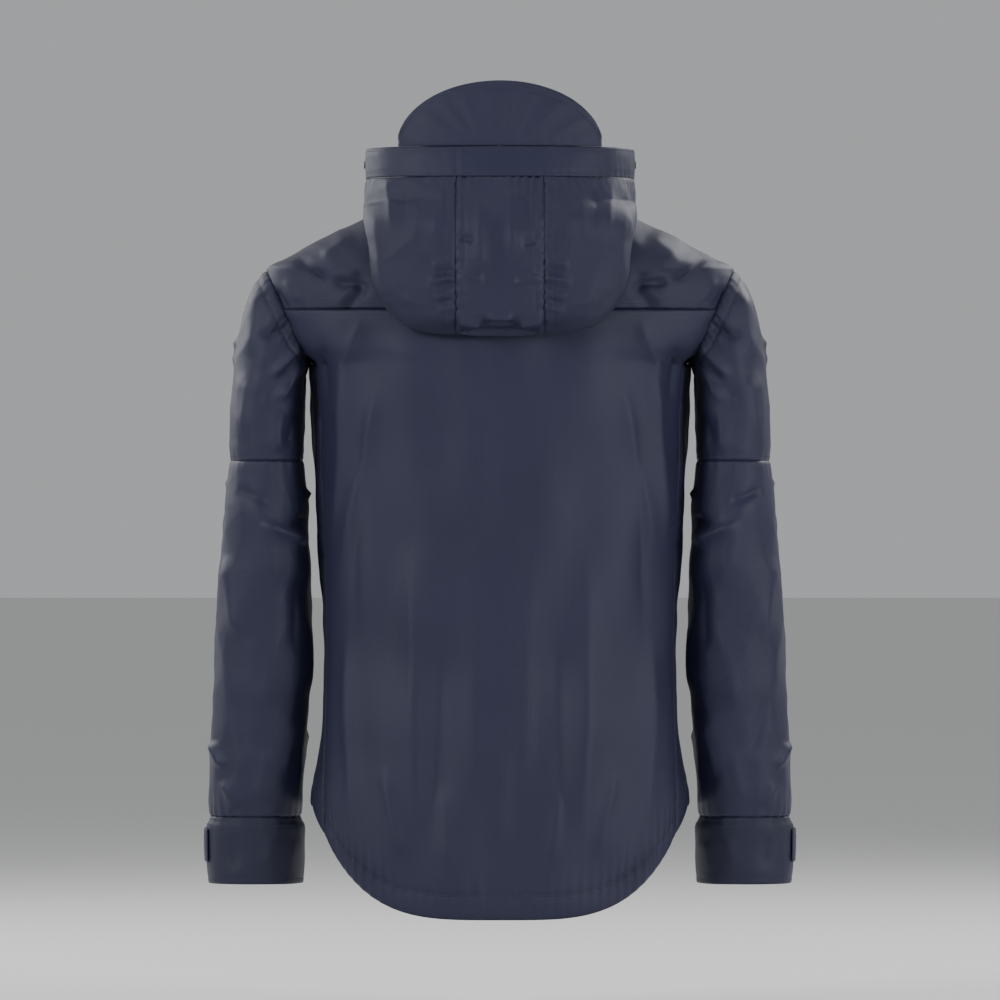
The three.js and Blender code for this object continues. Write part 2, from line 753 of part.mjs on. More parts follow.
/** Flat strip bent into a low arch whose middle is level. */
function hangerLoop() {
  const foot = 16;
  const outer = [[-loopHalfWidth, -foot], [-loopHalfWidth, -4], [-loopHalfWidth + 4, 0]];
  const inner = outer.map(([x, z]) => [x + loopBand * (z < 0 ? 1 : 0.4), Math.min(z, -loopBand)]);
  const half = [...outer, ...outer.toReversed().map(([x, z]) => [-x, z])];
  const back = [...inner.map(([x, z]) => [-x, z]), ...inner.toReversed()];
  const shape = new THREE.Shape([...half, ...back].map(([x, z]) => new THREE.Vector2(x, z + loopTop)));
  const geometry = new THREE.ExtrudeGeometry(shape, { depth: 7, bevelEnabled: false });
  geometry.rotateX(halfTurn);
  geometry.translate(0, loopY + 3.5, 0);
  return geometry;
}

// Assembly

const jacket = new THREE.Group();
jacket.position.set(0, -loopY, -(loopTop - loopBand));

const finishes = {
  shell: new THREE.MeshStandardMaterial({ color: 0x32364a, roughness: 0.72 }),
  panel: new THREE.MeshStandardMaterial({ color: 0x2f3347, roughness: 0.75 }),
  lining: new THREE.MeshStandardMaterial({ color: 0x25283a, roughness: 0.6 }),
  fleece: new THREE.MeshStandardMaterial({ color: 0x1f2230, roughness: 0.95 }),
  tape: new THREE.MeshStandardMaterial({ color: 0x1b1d28, roughness: 0.8 }),
  plastic: new THREE.MeshStandardMaterial({ color: 0x16171d, roughness: 0.45 }),
  hookAndLoop: new THREE.MeshStandardMaterial({ color: 0x14161f, roughness: 1 }),
  elastic: new THREE.MeshStandardMaterial({ color: 0x101116, roughness: 0.9 }),
};

function add(name, geometry, finish) {
  const mesh = new THREE.Mesh(geometry, finishes[finish]);
  mesh.name = name;
  jacket.add(mesh);
}

function addPair(name, geometry, finish) {
  add(`${name}_left`, geometry, finish);
  add(`${name}_right`, mirrored(geometry), finish);
}

function addBody() {
  const facingBand = hemBand(2, facingHeight, liningInset);
  const elasticBand = hemBand(elasticRise, elasticRise + elasticHeight, elasticInset);
  const backRows = rowsOver(yokeHeight, 66);
  const sideRows = rowsOver(armpitHeight - hemRise, 54);
  const frontRows = rowsOver(napeHeight - hemRise, 39);
  const liningRows = rowsOver(napeHeight - facingHeight, 68);
  add("back_panel", cloth(backPanelSurface, 16, backRows, shellThickness), "shell");
  add("back_yoke", cloth(yokeSurface, 16, 8, shellThickness), "shell");
  addPair("side_panel", cloth(sidePanelSurface, 4, sideRows, shellThickness), "panel");
  addPair("front_side_panel", cloth(frontSideSurface, 5, frontRows, shellThickness), "shell");
  add("collar_back", cloth(collarBackSurface, 16, 2, shellThickness * 1.8), "fleece");
  add("body_lining", cloth(liningSurface, 20, liningRows, liningThickness), "lining");
  add("hem_facing", cloth(facingBand, 16, 1, liningThickness), "lining");
  add("hem_elastic", cloth(elasticBand, 16, 1, 1.2), "elastic");
  add("hanger_loop", hangerLoop(), "tape");
}

/** Strip that faces the front beside the zip, behind its tape. */
const facingFace = (u, v) => frontAtX(mix(4, 44, u), mix(hemRise + 4, yokeHeight - 8, v));

const tape = (start) =>
  zipBlock(
    [toothOuter + 0.4, toothOuter + 0.4 + tapeWidth],
    [-tapeInset - tapeThickness, -tapeInset],
    [start, zipLength - 2],
  );

function addFronts() {
  const facingSurface = offset(facingFace, -liningInset);
  const pocketSurface = offset(pocketFace, pocketStand);
  const box = zipBlock([toothGap, toothOuter + 3], [-3.4, 0.6], [0.5, boxLength]);
  const frontRows = rowsOver(napeHeight - hemRise, 39);
  addPair("front_panel", cloth(frontSurface, 6, frontRows, shellThickness), "shell");
  addPair("collar_front", cloth(collarFrontSurface, 5, 2, shellThickness), "fleece");
  addPair("front_facing", cloth(facingSurface, 2, 8, liningThickness), "lining");
  add("zip_tape_left", tape(boxLength + 1), "tape");
  add("zip_tape_right", mirrored(tape(sliderEnd + 4)), "tape");
  add("zip_teeth_left", teeth(boxLength + 2, zipLength - 4), "plastic");
  add("zip_teeth_right", mirrored(teeth(sliderEnd + 6, zipLength - 4)), "plastic");
  add("zip_box", box, "plastic");
  add("zip_slider", slider(), "plastic");
  add("zip_pull", zipPull(), "plastic");
  addPair("pocket", cloth(pocketSurface, 9, 8, liningThickness), "shell");
  addPair("pocket_flap", cloth(offset(flapFace, flapStand), 6, 3, shellThickness), "shell");
  addPair("pocket_patch", cloth(patchFace, 3, 1, 0.8), "hookAndLoop");
}

function addHood() {
  const outer = peak(peakHalfWidth, peakHeight, seamGap);
  const stiffener = offset(peak(peakHalfWidth - 8, peakHeight - 8, seamGap * 2), -1.6);
  const underside = offset(peak(peakHalfWidth - 1, peakHeight - 1, seamGap), -3.1);
  const napeRows = rowsOver(hoodDrop, 15);
  add("hood_middle_panel", cloth(hoodMiddleSurface, 8, 10, shellThickness), "shell");
  addPair("hood_side_panel", cloth(hoodSideSurface, 9, 10, shellThickness), "shell");
  add("hood_band", cloth(bandSurface, 20, 2, shellThickness * 1.8), "shell");
  add("peak_outer", cloth(outer, 14, 3, 1), "shell");
  add("peak_stiffener", cloth(stiffener, 12, 2, 0.9), "plastic");
  add("peak_lining", cloth(underside, 14, 3, 1), "lining");
  add("hood_lining", cloth(hoodLiningSurface, 14, 8, liningThickness), "lining");
  add("nape_panel", cloth(napeSurface, 16, napeRows, liningThickness), "lining");
  addPair("hood_eyelet", eyelet(), "plastic");
}

function addSleeves() {
  const cuffTube = tube(cuffEdge, cuffSeam);
  const lowerTube = tube(cuffSeam + seamGap, elbowHeight);
  const upperLining = offset(upperSleeveSurface, -liningInset);
  const lowerLining = offset(tube(cuffSeam + 24, elbowHeight - seamGap * 2), -liningInset);
  const stormTube = offset(tube(cuffEdge + 12, cuffSeam + 22), -liningInset * 1.25);
  const tabSurface = offset(tabFace, 0.8 + layerGap + 1.8);
  const loopSurface = offset(loopPatchFace, 0.8 + layerGap / 2);
  addPair("upper_sleeve", cloth(upperSleeveSurface, 20, 6, shellThickness, true), "shell");
  addPair("lower_sleeve", cloth(lowerTube, 16, 6, shellThickness, true), "shell");
  addPair("cuff", cloth(cuffTube, 16, 2, shellThickness * 1.6, true), "panel");
  addPair("upper_sleeve_lining", cloth(upperLining, 20, 8, liningThickness, true), "lining");
  addPair("lower_sleeve_lining", cloth(lowerLining, 16, 5, liningThickness, true), "lining");
  addPair("storm_cuff", cloth(stormTube, 16, 2, liningThickness, true), "elastic");
  addPair("cuff_tab", cloth(tabSurface, 6, 1, 1.5), "panel");
  addPair("cuff_patch", cloth(loopSurface, 4, 1, 0.8), "hookAndLoop");
}

addBody();
addFronts();
addHood();
addSleeves();

export default jacket;
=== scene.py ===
import bpy
import numpy as np
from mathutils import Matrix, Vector


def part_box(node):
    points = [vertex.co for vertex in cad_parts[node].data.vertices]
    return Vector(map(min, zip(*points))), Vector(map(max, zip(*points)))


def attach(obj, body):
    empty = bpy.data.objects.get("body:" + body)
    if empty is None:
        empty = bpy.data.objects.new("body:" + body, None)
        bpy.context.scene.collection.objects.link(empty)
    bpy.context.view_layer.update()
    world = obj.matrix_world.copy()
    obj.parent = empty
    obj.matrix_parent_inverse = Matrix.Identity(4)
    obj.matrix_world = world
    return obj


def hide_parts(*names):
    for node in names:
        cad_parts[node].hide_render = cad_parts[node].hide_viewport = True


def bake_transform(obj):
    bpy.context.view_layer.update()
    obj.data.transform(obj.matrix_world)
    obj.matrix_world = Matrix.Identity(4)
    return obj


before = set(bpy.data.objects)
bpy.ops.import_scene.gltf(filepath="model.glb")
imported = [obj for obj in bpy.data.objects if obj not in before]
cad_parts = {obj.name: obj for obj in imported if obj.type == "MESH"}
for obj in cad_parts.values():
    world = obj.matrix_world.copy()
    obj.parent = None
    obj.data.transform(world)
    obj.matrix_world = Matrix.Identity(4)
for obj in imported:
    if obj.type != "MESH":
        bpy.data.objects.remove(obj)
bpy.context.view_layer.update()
print("frame loaded")

# Heights are millimetres above the lowest point of the back hem until a piece is made.
bodyCut = {
    "nape": 785, "neckSideRise": 7, "neckFrontDrop": 20, "neckHalf": 95, "neckDepth": 72,
    "tip": 709, "tipHalf": 257, "headHalf": 262, "yoke": 665, "armpit": 606,
    "chest": 211, "rib": 200, "waist": 194, "hem": 209, "hemRise": 120,
    "backDepth": 128, "hemDepth": 138, "collarDepth": 96, "power": 2.4, "tipShare": 0.3,
    "collarBack": 54, "collarFront": 83, "frontSeams": [(120, 150), (665, 92), (785, 72)],
}
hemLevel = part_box("back_panel")[0].z * 1000  # where height 0 is in the frame
loopDepth = bodyCut["neckDepth"] - 14  # the loop's middle is the frame's zero
quarter = np.pi / 2


def mix(a, b, t):
    return a + (b - a) * t


def smooth(t):  # an S-shaped step from 0 to 1
    t = np.clip(t, 0, 1)
    return t * t * (3 - 2 * t)


# Smooth value through (position, value) pairs: cubic pieces whose slopes are harmonic means, so
# none overshoots.
def profile(*pairs):
    x, y = np.array(pairs, float).T
    span = np.diff(x)
    rate = np.diff(y) / span
    product = rate[:-1] * rate[1:]
    total = np.where(rate[:-1] + rate[1:] == 0, 1, rate[:-1] + rate[1:])
    slope = np.concatenate([rate[:1], np.where(product > 0, 2 * product / total, 0), rate[-1:]])

    def at(value):
        i = np.clip(np.searchsorted(x, value, side="right") - 1, 0, len(x) - 2)
        t = np.clip((value - x[i]) / span[i], 0, 1)
        rise = y[i] * (1 + 2 * t) * (1 - t) ** 2 + y[i + 1] * t * t * (3 - 2 * t)
        return rise + span[i] * (slope[i] * t * (1 - t) ** 2 - slope[i + 1] * t * t * (1 - t))

    return at


def rounded(c, power):
    return np.sign(c) * np.abs(c) ** (2 / power)


def turnFor(share, power):
    return np.arccos(np.clip(share, 0, 1) ** (power / 2))


# Halves the gap between low and high thirty times, keeping the side where the test is true.
def lastTrue(low, high, test):
    inside, outside = np.asarray(low, float), np.asarray(high, float)
    for _ in range(30):
        middle = (inside + outside) / 2
        isIn = test(middle)
        inside, outside = np.where(isIn, middle, inside), np.where(isIn, outside, middle)
    return inside


nape, yokeLevel, armpit, tip = (bodyCut[key] for key in ("nape", "yoke", "armpit", "tip"))
hemRise, power = bodyCut["hemRise"], bodyCut["power"]
collarTop = nape + bodyCut["collarFront"]
yokeDrop = nape - yokeLevel
armholeDrop = tip - armpit
waistLevel = hemRise + 0.36 * (armpit - hemRise)
halfWidthAt = profile(
    (0, bodyCut["hem"] + 4), (hemRise, bodyCut["hem"]), (hemRise * 1.6, bodyCut["waist"] + 3),
    (waistLevel, bodyCut["waist"]), (hemRise + 0.72 * (armpit - hemRise), bodyCut["rib"]),
    (armpit, bodyCut["chest"]),
    (mix(armpit, yokeLevel, 0.35), mix(bodyCut["chest"], bodyCut["headHalf"], 0.55)),
    (yokeLevel, bodyCut["headHalf"]),
)
backDepthAt = profile(
    (0, bodyCut["hemDepth"] + 2), (hemRise, bodyCut["hemDepth"]), (waistLevel, bodyCut["backDepth"] - 3),
    (armpit, bodyCut["backDepth"] + 2), (yokeLevel, bodyCut["backDepth"]),
)
tipOut = (bodyCut["tipHalf"] - bodyCut["neckHalf"]) / (bodyCut["headHalf"] - bodyCut["neckHalf"])
tipUp = (tip - yokeLevel) / (yokeDrop + bodyCut["neckSideRise"])
tipShare = bodyCut["tipShare"]
pastTip = tipShare + 0.12
sideOut = profile((0, 1), (0.16, 1), (tipShare, tipOut), (pastTip, tipOut * 0.88), (1, 0))
sideUp = profile((0, 0), (0.16, tipUp * 0.55), (tipShare, tipUp), (pastTip, mix(tipUp, 1, 0.14)), (1, 1))
backOut = profile((0, 1), (0.3, 0.94), (0.6, 0.7), (0.85, 0.32), (1, 0))
backUp = profile((0, 0), (0.3, 0.36), (0.6, 0.68), (0.85, 0.9), (1, 1))


def frontDepthAt(height):
    return mix(bodyCut["hemDepth"], bodyCut["collarDepth"], (height - hemRise) / (collarTop - hemRise))


# Body: a rounded box section at each level; above the yoke seam it draws in and up to the neck seam.
def body(turn, rise):
    turn, rise = np.broadcast_arrays(np.asarray(turn, float), np.asarray(rise, float))
    c, s = rounded(np.cos(turn), power), rounded(np.sin(turn), power)
    isBack, side = s > 0, np.cos(turn) ** 2
    level = np.minimum(rise, yokeLevel)
    depth = np.where(isBack, backDepthAt(level), frontDepthAt(level))
    share = np.clip((rise - yokeLevel) / yokeDrop, 0, 1)
    out = mix(np.where(isBack, backOut(share), 1 - share), sideOut(share), side)
    up = mix(np.where(isBack, backUp(share), share), sideUp(share), side)
    neckFront = nape - bodyCut["neckFrontDrop"]
    neckDepth = np.where(isBack, bodyCut["neckDepth"], frontDepthAt(neckFront))
    neckLevel = mix(np.where(np.sin(turn) > 0, nape, neckFront), nape + bodyCut["neckSideRise"], side)
    isLow = rise <= yokeLevel
    half = np.where(isLow, halfWidthAt(rise), mix(bodyCut["neckHalf"], halfWidthAt(yokeLevel), out))
    deep = np.where(isLow, depth, mix(neckDepth, depth, out))
    return np.stack([half * c, deep * s, np.where(isLow, rise, mix(yokeLevel, neckLevel, up))], -1)


def armholeX(height):
    return mix(bodyCut["chest"], bodyCut["tipHalf"], (height - armpit) / armholeDrop)


def findArmhole(side):  # the turn of the armhole's edge at each rise, found once for each side
    steps = 500
    rises = np.linspace(armpit, nape, steps)

    def isOutside(turn):
        point = body(side * turn, rises)
        return point[..., 0] > armholeX(point[..., 2])

    turns = lastTrue(np.zeros(steps), np.full(steps, quarter * 0.95), isOutside)
    return lambda rise: np.where(rise <= armpit, 0, np.interp(rise, rises, turns))


armholeBehind, armholeAhead = findArmhole(1), findArmhole(-1)


# Part of a surface between two turns and two rises, each of which may follow the other.
def region(surface, fromTurn, toTurn, fromRise, toRise):
    def at(u, v):
        middle = (fromRise(quarter) + toRise(quarter)) / 2
        near = mix(fromTurn(middle), toTurn(middle), u)
        rise = mix(fromRise(near), toRise(near), v)
        return surface(mix(fromTurn(rise), toTurn(rise), u), rise)

    return at


def level(value):
    return lambda _: value + 0.0


def hemAt(turn):  # level in front, a curved tail behind
    edge = np.clip(np.abs(np.cos(turn)), 0, 1) ** 3.3
    return np.where(np.sin(turn) <= 0, hemRise, hemRise * (1 - np.sqrt(1 - edge)))


def ringHalf(rise):
    return body(0, rise)[..., 0]


sideInset = profile((0, 22), (hemRise, 16), (hemRise * 1.6, 5), (waistLevel, 3), (armpit, 8))
frontSeamX = profile(*bodyCut["frontSeams"])
zipEdge = 7
sidePanelFront = 0.42
leastTurn = 0.0003  # keeps an edge off the exact side, where the rounded section has no direction


def sideSeamTurn(rise):
    low = np.minimum(rise, armpit)
    return turnFor(1 - sideInset(low) / ringHalf(low), power)


def backEdge(rise):
    return np.maximum(sideSeamTurn(rise), armholeBehind(rise))


def yokeEdge(rise):
    return np.maximum(armholeBehind(rise), leastTurn)


def frontEdge(rise):
    return np.where(rise < armpit, sidePanelFront, np.maximum(armholeAhead(rise), leastTurn))


def frontSeamTurn(rise):
    return turnFor(frontSeamX(rise) / ringHalf(rise), power)


def turnAtX(rise, x):
    return turnFor(x / ringHalf(rise), power)


def frontAtX(x, height):
    return body(-turnAtX(height, x), height)


def facing(points, isRing=False):  # outward direction: across the columns, crossed with up the rows
    along = np.roll(points, -1, 1) - np.roll(points, 1, 1) if isRing else np.gradient(points, axis=1)
    normal = np.cross(along, np.gradient(points, axis=0))
    return normal / np.maximum(np.linalg.norm(normal, axis=-1, keepdims=True), 1e-9)


# The same surface moved out by a distance, found from the steps to its neighbouring places.
def offset(surface, distance):
    def at(u, v):
        step = 1e-3
        u0, u1 = np.clip(u - step, 0, 1), np.clip(u + step, 0, 1)
        v0, v1 = np.clip(v - step, 0, 1), np.clip(v + step, 0, 1)
        normal = np.cross(surface(u1, v) - surface(u0, v), surface(u, v1) - surface(u, v0))
        normal /= np.maximum(np.linalg.norm(normal, axis=-1, keepdims=True), 1e-9)
        away = distance(u, v) if callable(distance) else distance
        return surface(u, v) + normal * np.asarray(away)[..., None]

    return at


# Cloth relief. Each returns how far the cloth stands out, in millimetres.

foldStrength = 2.2


# A bell with a crisp crest across the line from start to end, faded at both ends; below zero it
# is a valley.
def fold(x, z, start, end, width, height, fade=0.3):
    (x0, z0), (x1, z1) = start, end
    length = np.hypot(x1 - x0, z1 - z0)
    dx, dz = (x1 - x0) / length, (z1 - z0) / length
    along = (x - x0) * dx + (z - z0) * dz
    across = (x - x0) * dz - (z - z0) * dx
    ends = smooth(along / (fade * length)) * smooth((length - along) / (fade * length))
    return foldStrength * height * np.exp(0.17 - 1.3 * ((across / width) ** 2 + 0.02) ** 0.62) * ends


# The folds of a list, added up.
def foldSum(x, z, rows, fade=0.3):
    return sum(fold(x, z, *row, fade) for row in rows)


# A flat piece's relief: a ripple over the place along x or y, and z.
def rippled(size, height, seed, first=0):
    def relief(points, away, nearest, u, v):
        return ripple(points[..., first], points[..., 2], size, height, seed)

    return relief


# Twelve sine waves in seeded directions, added up: soft unevenness of about the given size.
def ripple(x, z, size, height, seed):
    chance = np.random.default_rng(seed)
    angle, phase = chance.uniform(0, np.pi, 12), chance.uniform(0, 2 * np.pi, 12)
    rate = 2 * np.pi / (size * chance.uniform(0.6, 1.7, 12))
    total = 0
    for i in range(12):
        total = total + np.sin(rate[i] * (x * np.cos(angle[i]) + z * np.sin(angle[i])) + phase[i])
    return height * total / 3.5


# Crisp-crested crumples: four sine waves in seeded directions with wavering phases, each folded up at zero.
def crumple(x, z, size, height, seed):
    chance = np.random.default_rng(seed)
    total = 0
    for angle, phase, stretch in chance.uniform((0, 0, 0.7), (np.pi, 6.3, 1.5), (4, 3)):
        across = (x * np.cos(angle) + z * np.sin(angle)) / (size * stretch)
        along = (z * np.cos(angle) - x * np.sin(angle)) / (size * stretch)
        total = total - np.abs(np.sin(np.pi * across + phase + 1.3 * np.sin(1.7 * along + phase)))
    return height * (total / 4 + 0.64)


# Short gathers square to a seam: a wavering sine along it, fading with distance from it.
def gather(along, away, pitch, height, reach, seed):
    chance = np.random.default_rng(seed)
    wander = sum(
        np.sin(along / (pitch * k) + chance.uniform(0, 6.3)) * (0.6 + 0.25 * k) for k in (1.3, 2.7, 4.9)
    )
    strength = 0.65 + 0.35 * np.sin(along / (pitch * 1.9) + chance.uniform(0, 6.3))
    return height * strength * np.sin(2 * np.pi * along / pitch + wander) * np.exp(-away / reach)


# Cloth swells out between its seams and dips at each sewn edge.
def swell(away, puff, reach=14, dip=1.1):
    return puff * (1 - np.exp(-away / reach)) - dip * np.exp(-((away / 2.2) ** 2))


def groove(away, inset, depth=0.7, width=2.4):  # the line that a row of stitches draws in
    return -depth * np.exp(-(((away - inset) / width) ** 2))


print("shapes ready")

# Making cloth

clothLook = {"stitchPitch": 3.4, "stitchLength": 2.5, "stitchWidth": 0.75, "stitchLift": 0.45}
pieces = {}


# Rows of points at a set distance in from one edge, measured along the cloth.
def alongEdge(points, normals, side, inset):
    if side in ("low", "high"):
        points, normals = points.transpose(1, 0, 2), normals.transpose(1, 0, 2)
    if side in ("right", "high"):
        points, normals = points[:, ::-1], normals[:, ::-1]
    steps = np.linalg.norm(np.diff(points, axis=1), axis=2)
    reach = np.concatenate([np.zeros((len(points), 1)), np.cumsum(steps, 1)], 1)
    i = np.clip((reach <= inset).sum(1) - 1, 0, points.shape[1] - 2)
    rows = np.arange(len(points))
    t = ((inset - reach[rows, i]) / np.maximum(steps[rows, i], 1e-6))[:, None]
    return mix(points[rows, i], points[rows, i + 1], t), normals[rows, i]


# A row of stitches: small eight-faced lozenges, spaced evenly along the line and lying on the cloth.
def stitchRow(line, normals, ends=4.0):
    reach = np.concatenate([[0], np.cumsum(np.linalg.norm(np.diff(line, axis=0), axis=1))])
    places = np.arange(ends, max(reach[-1] - ends, ends + 1), clothLook["stitchPitch"])

    def sample(values, at):
        return np.stack([np.interp(at, reach, values[:, k]) for k in range(3)], 1)

    centre, normal = sample(line, places), sample(normals, places)
    along = sample(line, places + 0.8) - sample(line, places - 0.8)
    along /= np.maximum(np.linalg.norm(along, axis=1, keepdims=True), 1e-9)
    across = np.cross(along, normal)
    half, width = clothLook["stitchLength"] / 2, clothLook["stitchWidth"] / 2
    corners = np.stack([
        centre + along * half, centre - across * width, centre - along * half, centre + across * width,
        centre + normal * clothLook["stitchLift"], centre - normal * 0.3,
    ], 1)
    top = np.array([(0, 3, 4), (3, 2, 4), (2, 1, 4), (1, 0, 4)])
    low = np.array([(3, 0, 5), (2, 3, 5), (1, 2, 5), (0, 1, 5)])
    faces = np.concatenate([top, low])[None] + 6 * np.arange(len(centre))[:, None, None]
    return corners.reshape(-1, 3), faces.reshape(-1, 3)


def inFrame(points):
    return (points + np.array([0, -loopDepth, hemLevel])) / 1000


# Makes a mesh from points in millimetres, its faces, a place on the cloth for each corner and
# each face's material.
def makeMesh(name, points, faceSets, uvSets, slots, materials, seamMask=None):
    mesh = bpy.data.meshes.new(name)
    faces = [face for faceSet in faceSets for face in faceSet.tolist()]
    mesh.from_pydata(inFrame(points).tolist(), [], faces)
    uv = mesh.uv_layers.new(name="cloth")
    uv.data.foreach_set("uv", np.concatenate([u.reshape(-1, 2) for u in uvSets]).astype(np.float32).ravel())
    mesh.polygons.foreach_set("material_index", np.concatenate(slots).astype(np.int32))
    mesh.polygons.foreach_set("use_smooth", np.ones(len(faces), bool))
    mask = mesh.attributes.new("seamMask", "FLOAT", "POINT")
    values = np.zeros(len(points), np.float32)
    if seamMask is not None:
        values[:len(seamMask)] = seamMask
    mask.data.foreach_set("value", values)
    mesh.update()
    obj = bpy.data.objects.new(name, mesh)
    bpy.context.scene.collection.objects.link(obj)
    for material in materials:
        mesh.materials.append(material)
    pieces[name] = obj
    return obj


# A wall of cloth: the surface on a grid, moved out by its relief, with an inner layer and edges
# that close it.
# relief takes the points, distances to the four edges and (u, v); rows of stitches are (edge, distance in).
def clothPiece(name, surface, columns, rows, material, relief=None, stitches=(), isRing=False,
               isMirrored=False, thickness=1.5):
    u = np.linspace(0, 1, columns + 1)[:-1] if isRing else np.linspace(0, 1, columns + 1)
    u, v = np.meshgrid(u, np.linspace(0, 1, rows + 1))
    points = surface(u, v)
    if isMirrored:
        points = points * np.array([-1, 1, 1])
        points, u, v = points[:, ::-1], u[:, ::-1], v[:, ::-1]
    across = np.linalg.norm(np.diff(points, axis=1), axis=2)
    upward = np.linalg.norm(np.diff(points, axis=0), axis=2)
    reachU = np.concatenate([np.zeros((rows + 1, 1)), np.cumsum(across, 1)], 1)
    reachV = np.concatenate([np.zeros((1, points.shape[1])), np.cumsum(upward, 0)], 0)
    away = {"left": reachU, "right": reachU[:, -1:] - reachU, "low": reachV, "high": reachV[-1:] - reachV}
    if isRing:
        away["left"] = away["right"] = np.full(reachU.shape, 1e3)
    if isMirrored:
        away["left"], away["right"] = away["right"], away["left"]
    width, length = float(reachU[:, -1].max()), float(reachV[-1].max())
    if isRing:
        width *= columns / (columns - 1)
    nearest = np.minimum.reduce([away[side] for side in away])
    if relief is not None:
        points = points + facing(points, isRing) * relief(points, away, nearest, u, v)[..., None]
    normals = facing(points, isRing)
    inner = points - normals * thickness
    columnsKept = points.shape[1]
    count = points.shape[0] * columnsKept
    column, row = (a.ravel() for a in np.meshgrid(np.arange(columns), np.arange(rows)))
    cornerColumn = np.stack([column, column + 1, column + 1, column], 1)
    cornerRow = np.stack([row, row, row + 1, row + 1], 1)
    outerFaces = cornerColumn % columnsKept + cornerRow * columnsKept
    place = np.stack([(cornerColumn / columns - 0.5) * width, cornerRow / rows * length], -1) / 1000

    def wall(columnA, rowA, columnB, rowB):
        a = columnA % columnsKept + rowA * columnsKept
        b = columnB % columnsKept + rowB * columnsKept
        return np.stack([b, a, a + count, b + count], 1)

    eachColumn, eachRow = np.arange(columns), np.arange(rows)
    lowest, highest = np.zeros(columns, int), np.full(columns, rows)
    walls = [wall(eachColumn, lowest, eachColumn + 1, lowest),
             wall(eachColumn + 1, highest, eachColumn, highest)]
    if not isRing:
        first, final = np.zeros(rows, int), np.full(rows, columns)
        walls += [wall(first, eachRow + 1, first, eachRow), wall(final, eachRow, final, eachRow + 1)]
    walls = np.concatenate(walls)
    faceSets = [outerFaces, outerFaces[:, ::-1] + count, walls]
    uvSets = [place, place[:, ::-1], np.zeros((len(walls), 4, 2))]
    slots = [np.zeros(len(faces)) for faces in faceSets]
    allPoints = [points.reshape(-1, 3), inner.reshape(-1, 3)]
    start = 2 * count
    for side, inset in stitches:
        if isMirrored:
            side = {"left": "right", "right": "left"}.get(side, side)
        line, lineNormals = alongEdge(points, normals, side, inset)
        rowPoints, rowFaces = stitchRow(line, lineNormals)
        allPoints.append(rowPoints)
        faceSets.append(rowFaces + start)
        uvSets.append(np.zeros((len(rowFaces), 3, 2)))
        slots.append(np.ones(len(rowFaces)))
        start += len(rowPoints)
    # the seam mask makes the colour paler near every edge: seam rub and a painted highlight on the seams
    seamMask = np.tile(np.exp(-nearest.ravel() / 3.5), 2)
    materials = [material] + ([finish["thread"]] if stitches else [])
    obj = makeMesh(name, np.concatenate(allPoints), faceSets, uvSets, slots, materials, seamMask)
    return obj


def settle(obj, body, nodes):
    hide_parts(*nodes)
    if isinstance(body, str):
        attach(obj, body)


# Bakes a bending piece's transform and works out, from a rule on its place at rest, how far each point would follow
# a second body; the weights are not kept.
def setBend(obj, rule):
    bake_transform(obj)
    count = len(obj.data.vertices)
    places = np.empty(count * 3, np.float32)
    obj.data.vertices.foreach_get("co", places)
    places = places.reshape(-1, 3).astype(float) * 1000 - np.array([0, -loopDepth, hemLevel])
    weights = smooth(rule(places)).astype(np.float32)


print("cloth maker ready")

# Finishes

finishLook = {
    "shell": {
        "thread": (0.0062, 0.0069, 0.0213), "lit": (0.0128, 0.0140, 0.0379),
        "rough": 0.5, "bump": 0.6, "sheen": 0.02,
    },
    "panel": {
        "thread": (0.0052, 0.0059, 0.0185), "lit": (0.0106, 0.0117, 0.0322),
        "rough": 0.55, "bump": 0.6, "sheen": 0.02,
    },
    "lining": {
        "thread": (0.0040, 0.0044, 0.0124), "lit": (0.0069, 0.0078, 0.0197),
        "rough": 0.45, "bump": 0.2, "sheen": 0.02,
    },
    "fleece": {
        "thread": (0.0036, 0.0041, 0.0100), "lit": (0.0084, 0.0094, 0.0209),
        "rough": 0.95, "bump": 0.9, "sheen": 0.12,
    },
    "tape": {
        "thread": (0.0036, 0.0041, 0.0094), "lit": (0.0069, 0.0076, 0.0161),
        "rough": 0.8, "bump": 0.5, "sheen": 0.03,
    },
    "elastic": {
        "thread": (0.0033, 0.0036, 0.0078), "lit": (0.0069, 0.0076, 0.0151),
        "rough": 0.9, "bump": 0.8, "sheen": 0.06,
    },
    "hookAndLoop": {
        "thread": (0.0029, 0.0032, 0.0067), "lit": (0.0077, 0.0085, 0.0172),
        "rough": 1.0, "bump": 1.0, "sheen": 0.1,
    },
    "thread": {
        "thread": (0.0140, 0.0155, 0.0300), "lit": (0.0280, 0.0310, 0.0520),
        "rough": 0.55, "bump": 0.2, "sheen": 0.1,
    },
}


def addNode(tree, kind, x, y, **values):
    node = tree.nodes.new(kind)
    node.location = (x, y)
    for key, value in values.items():
        setattr(node, key, value)
    return node
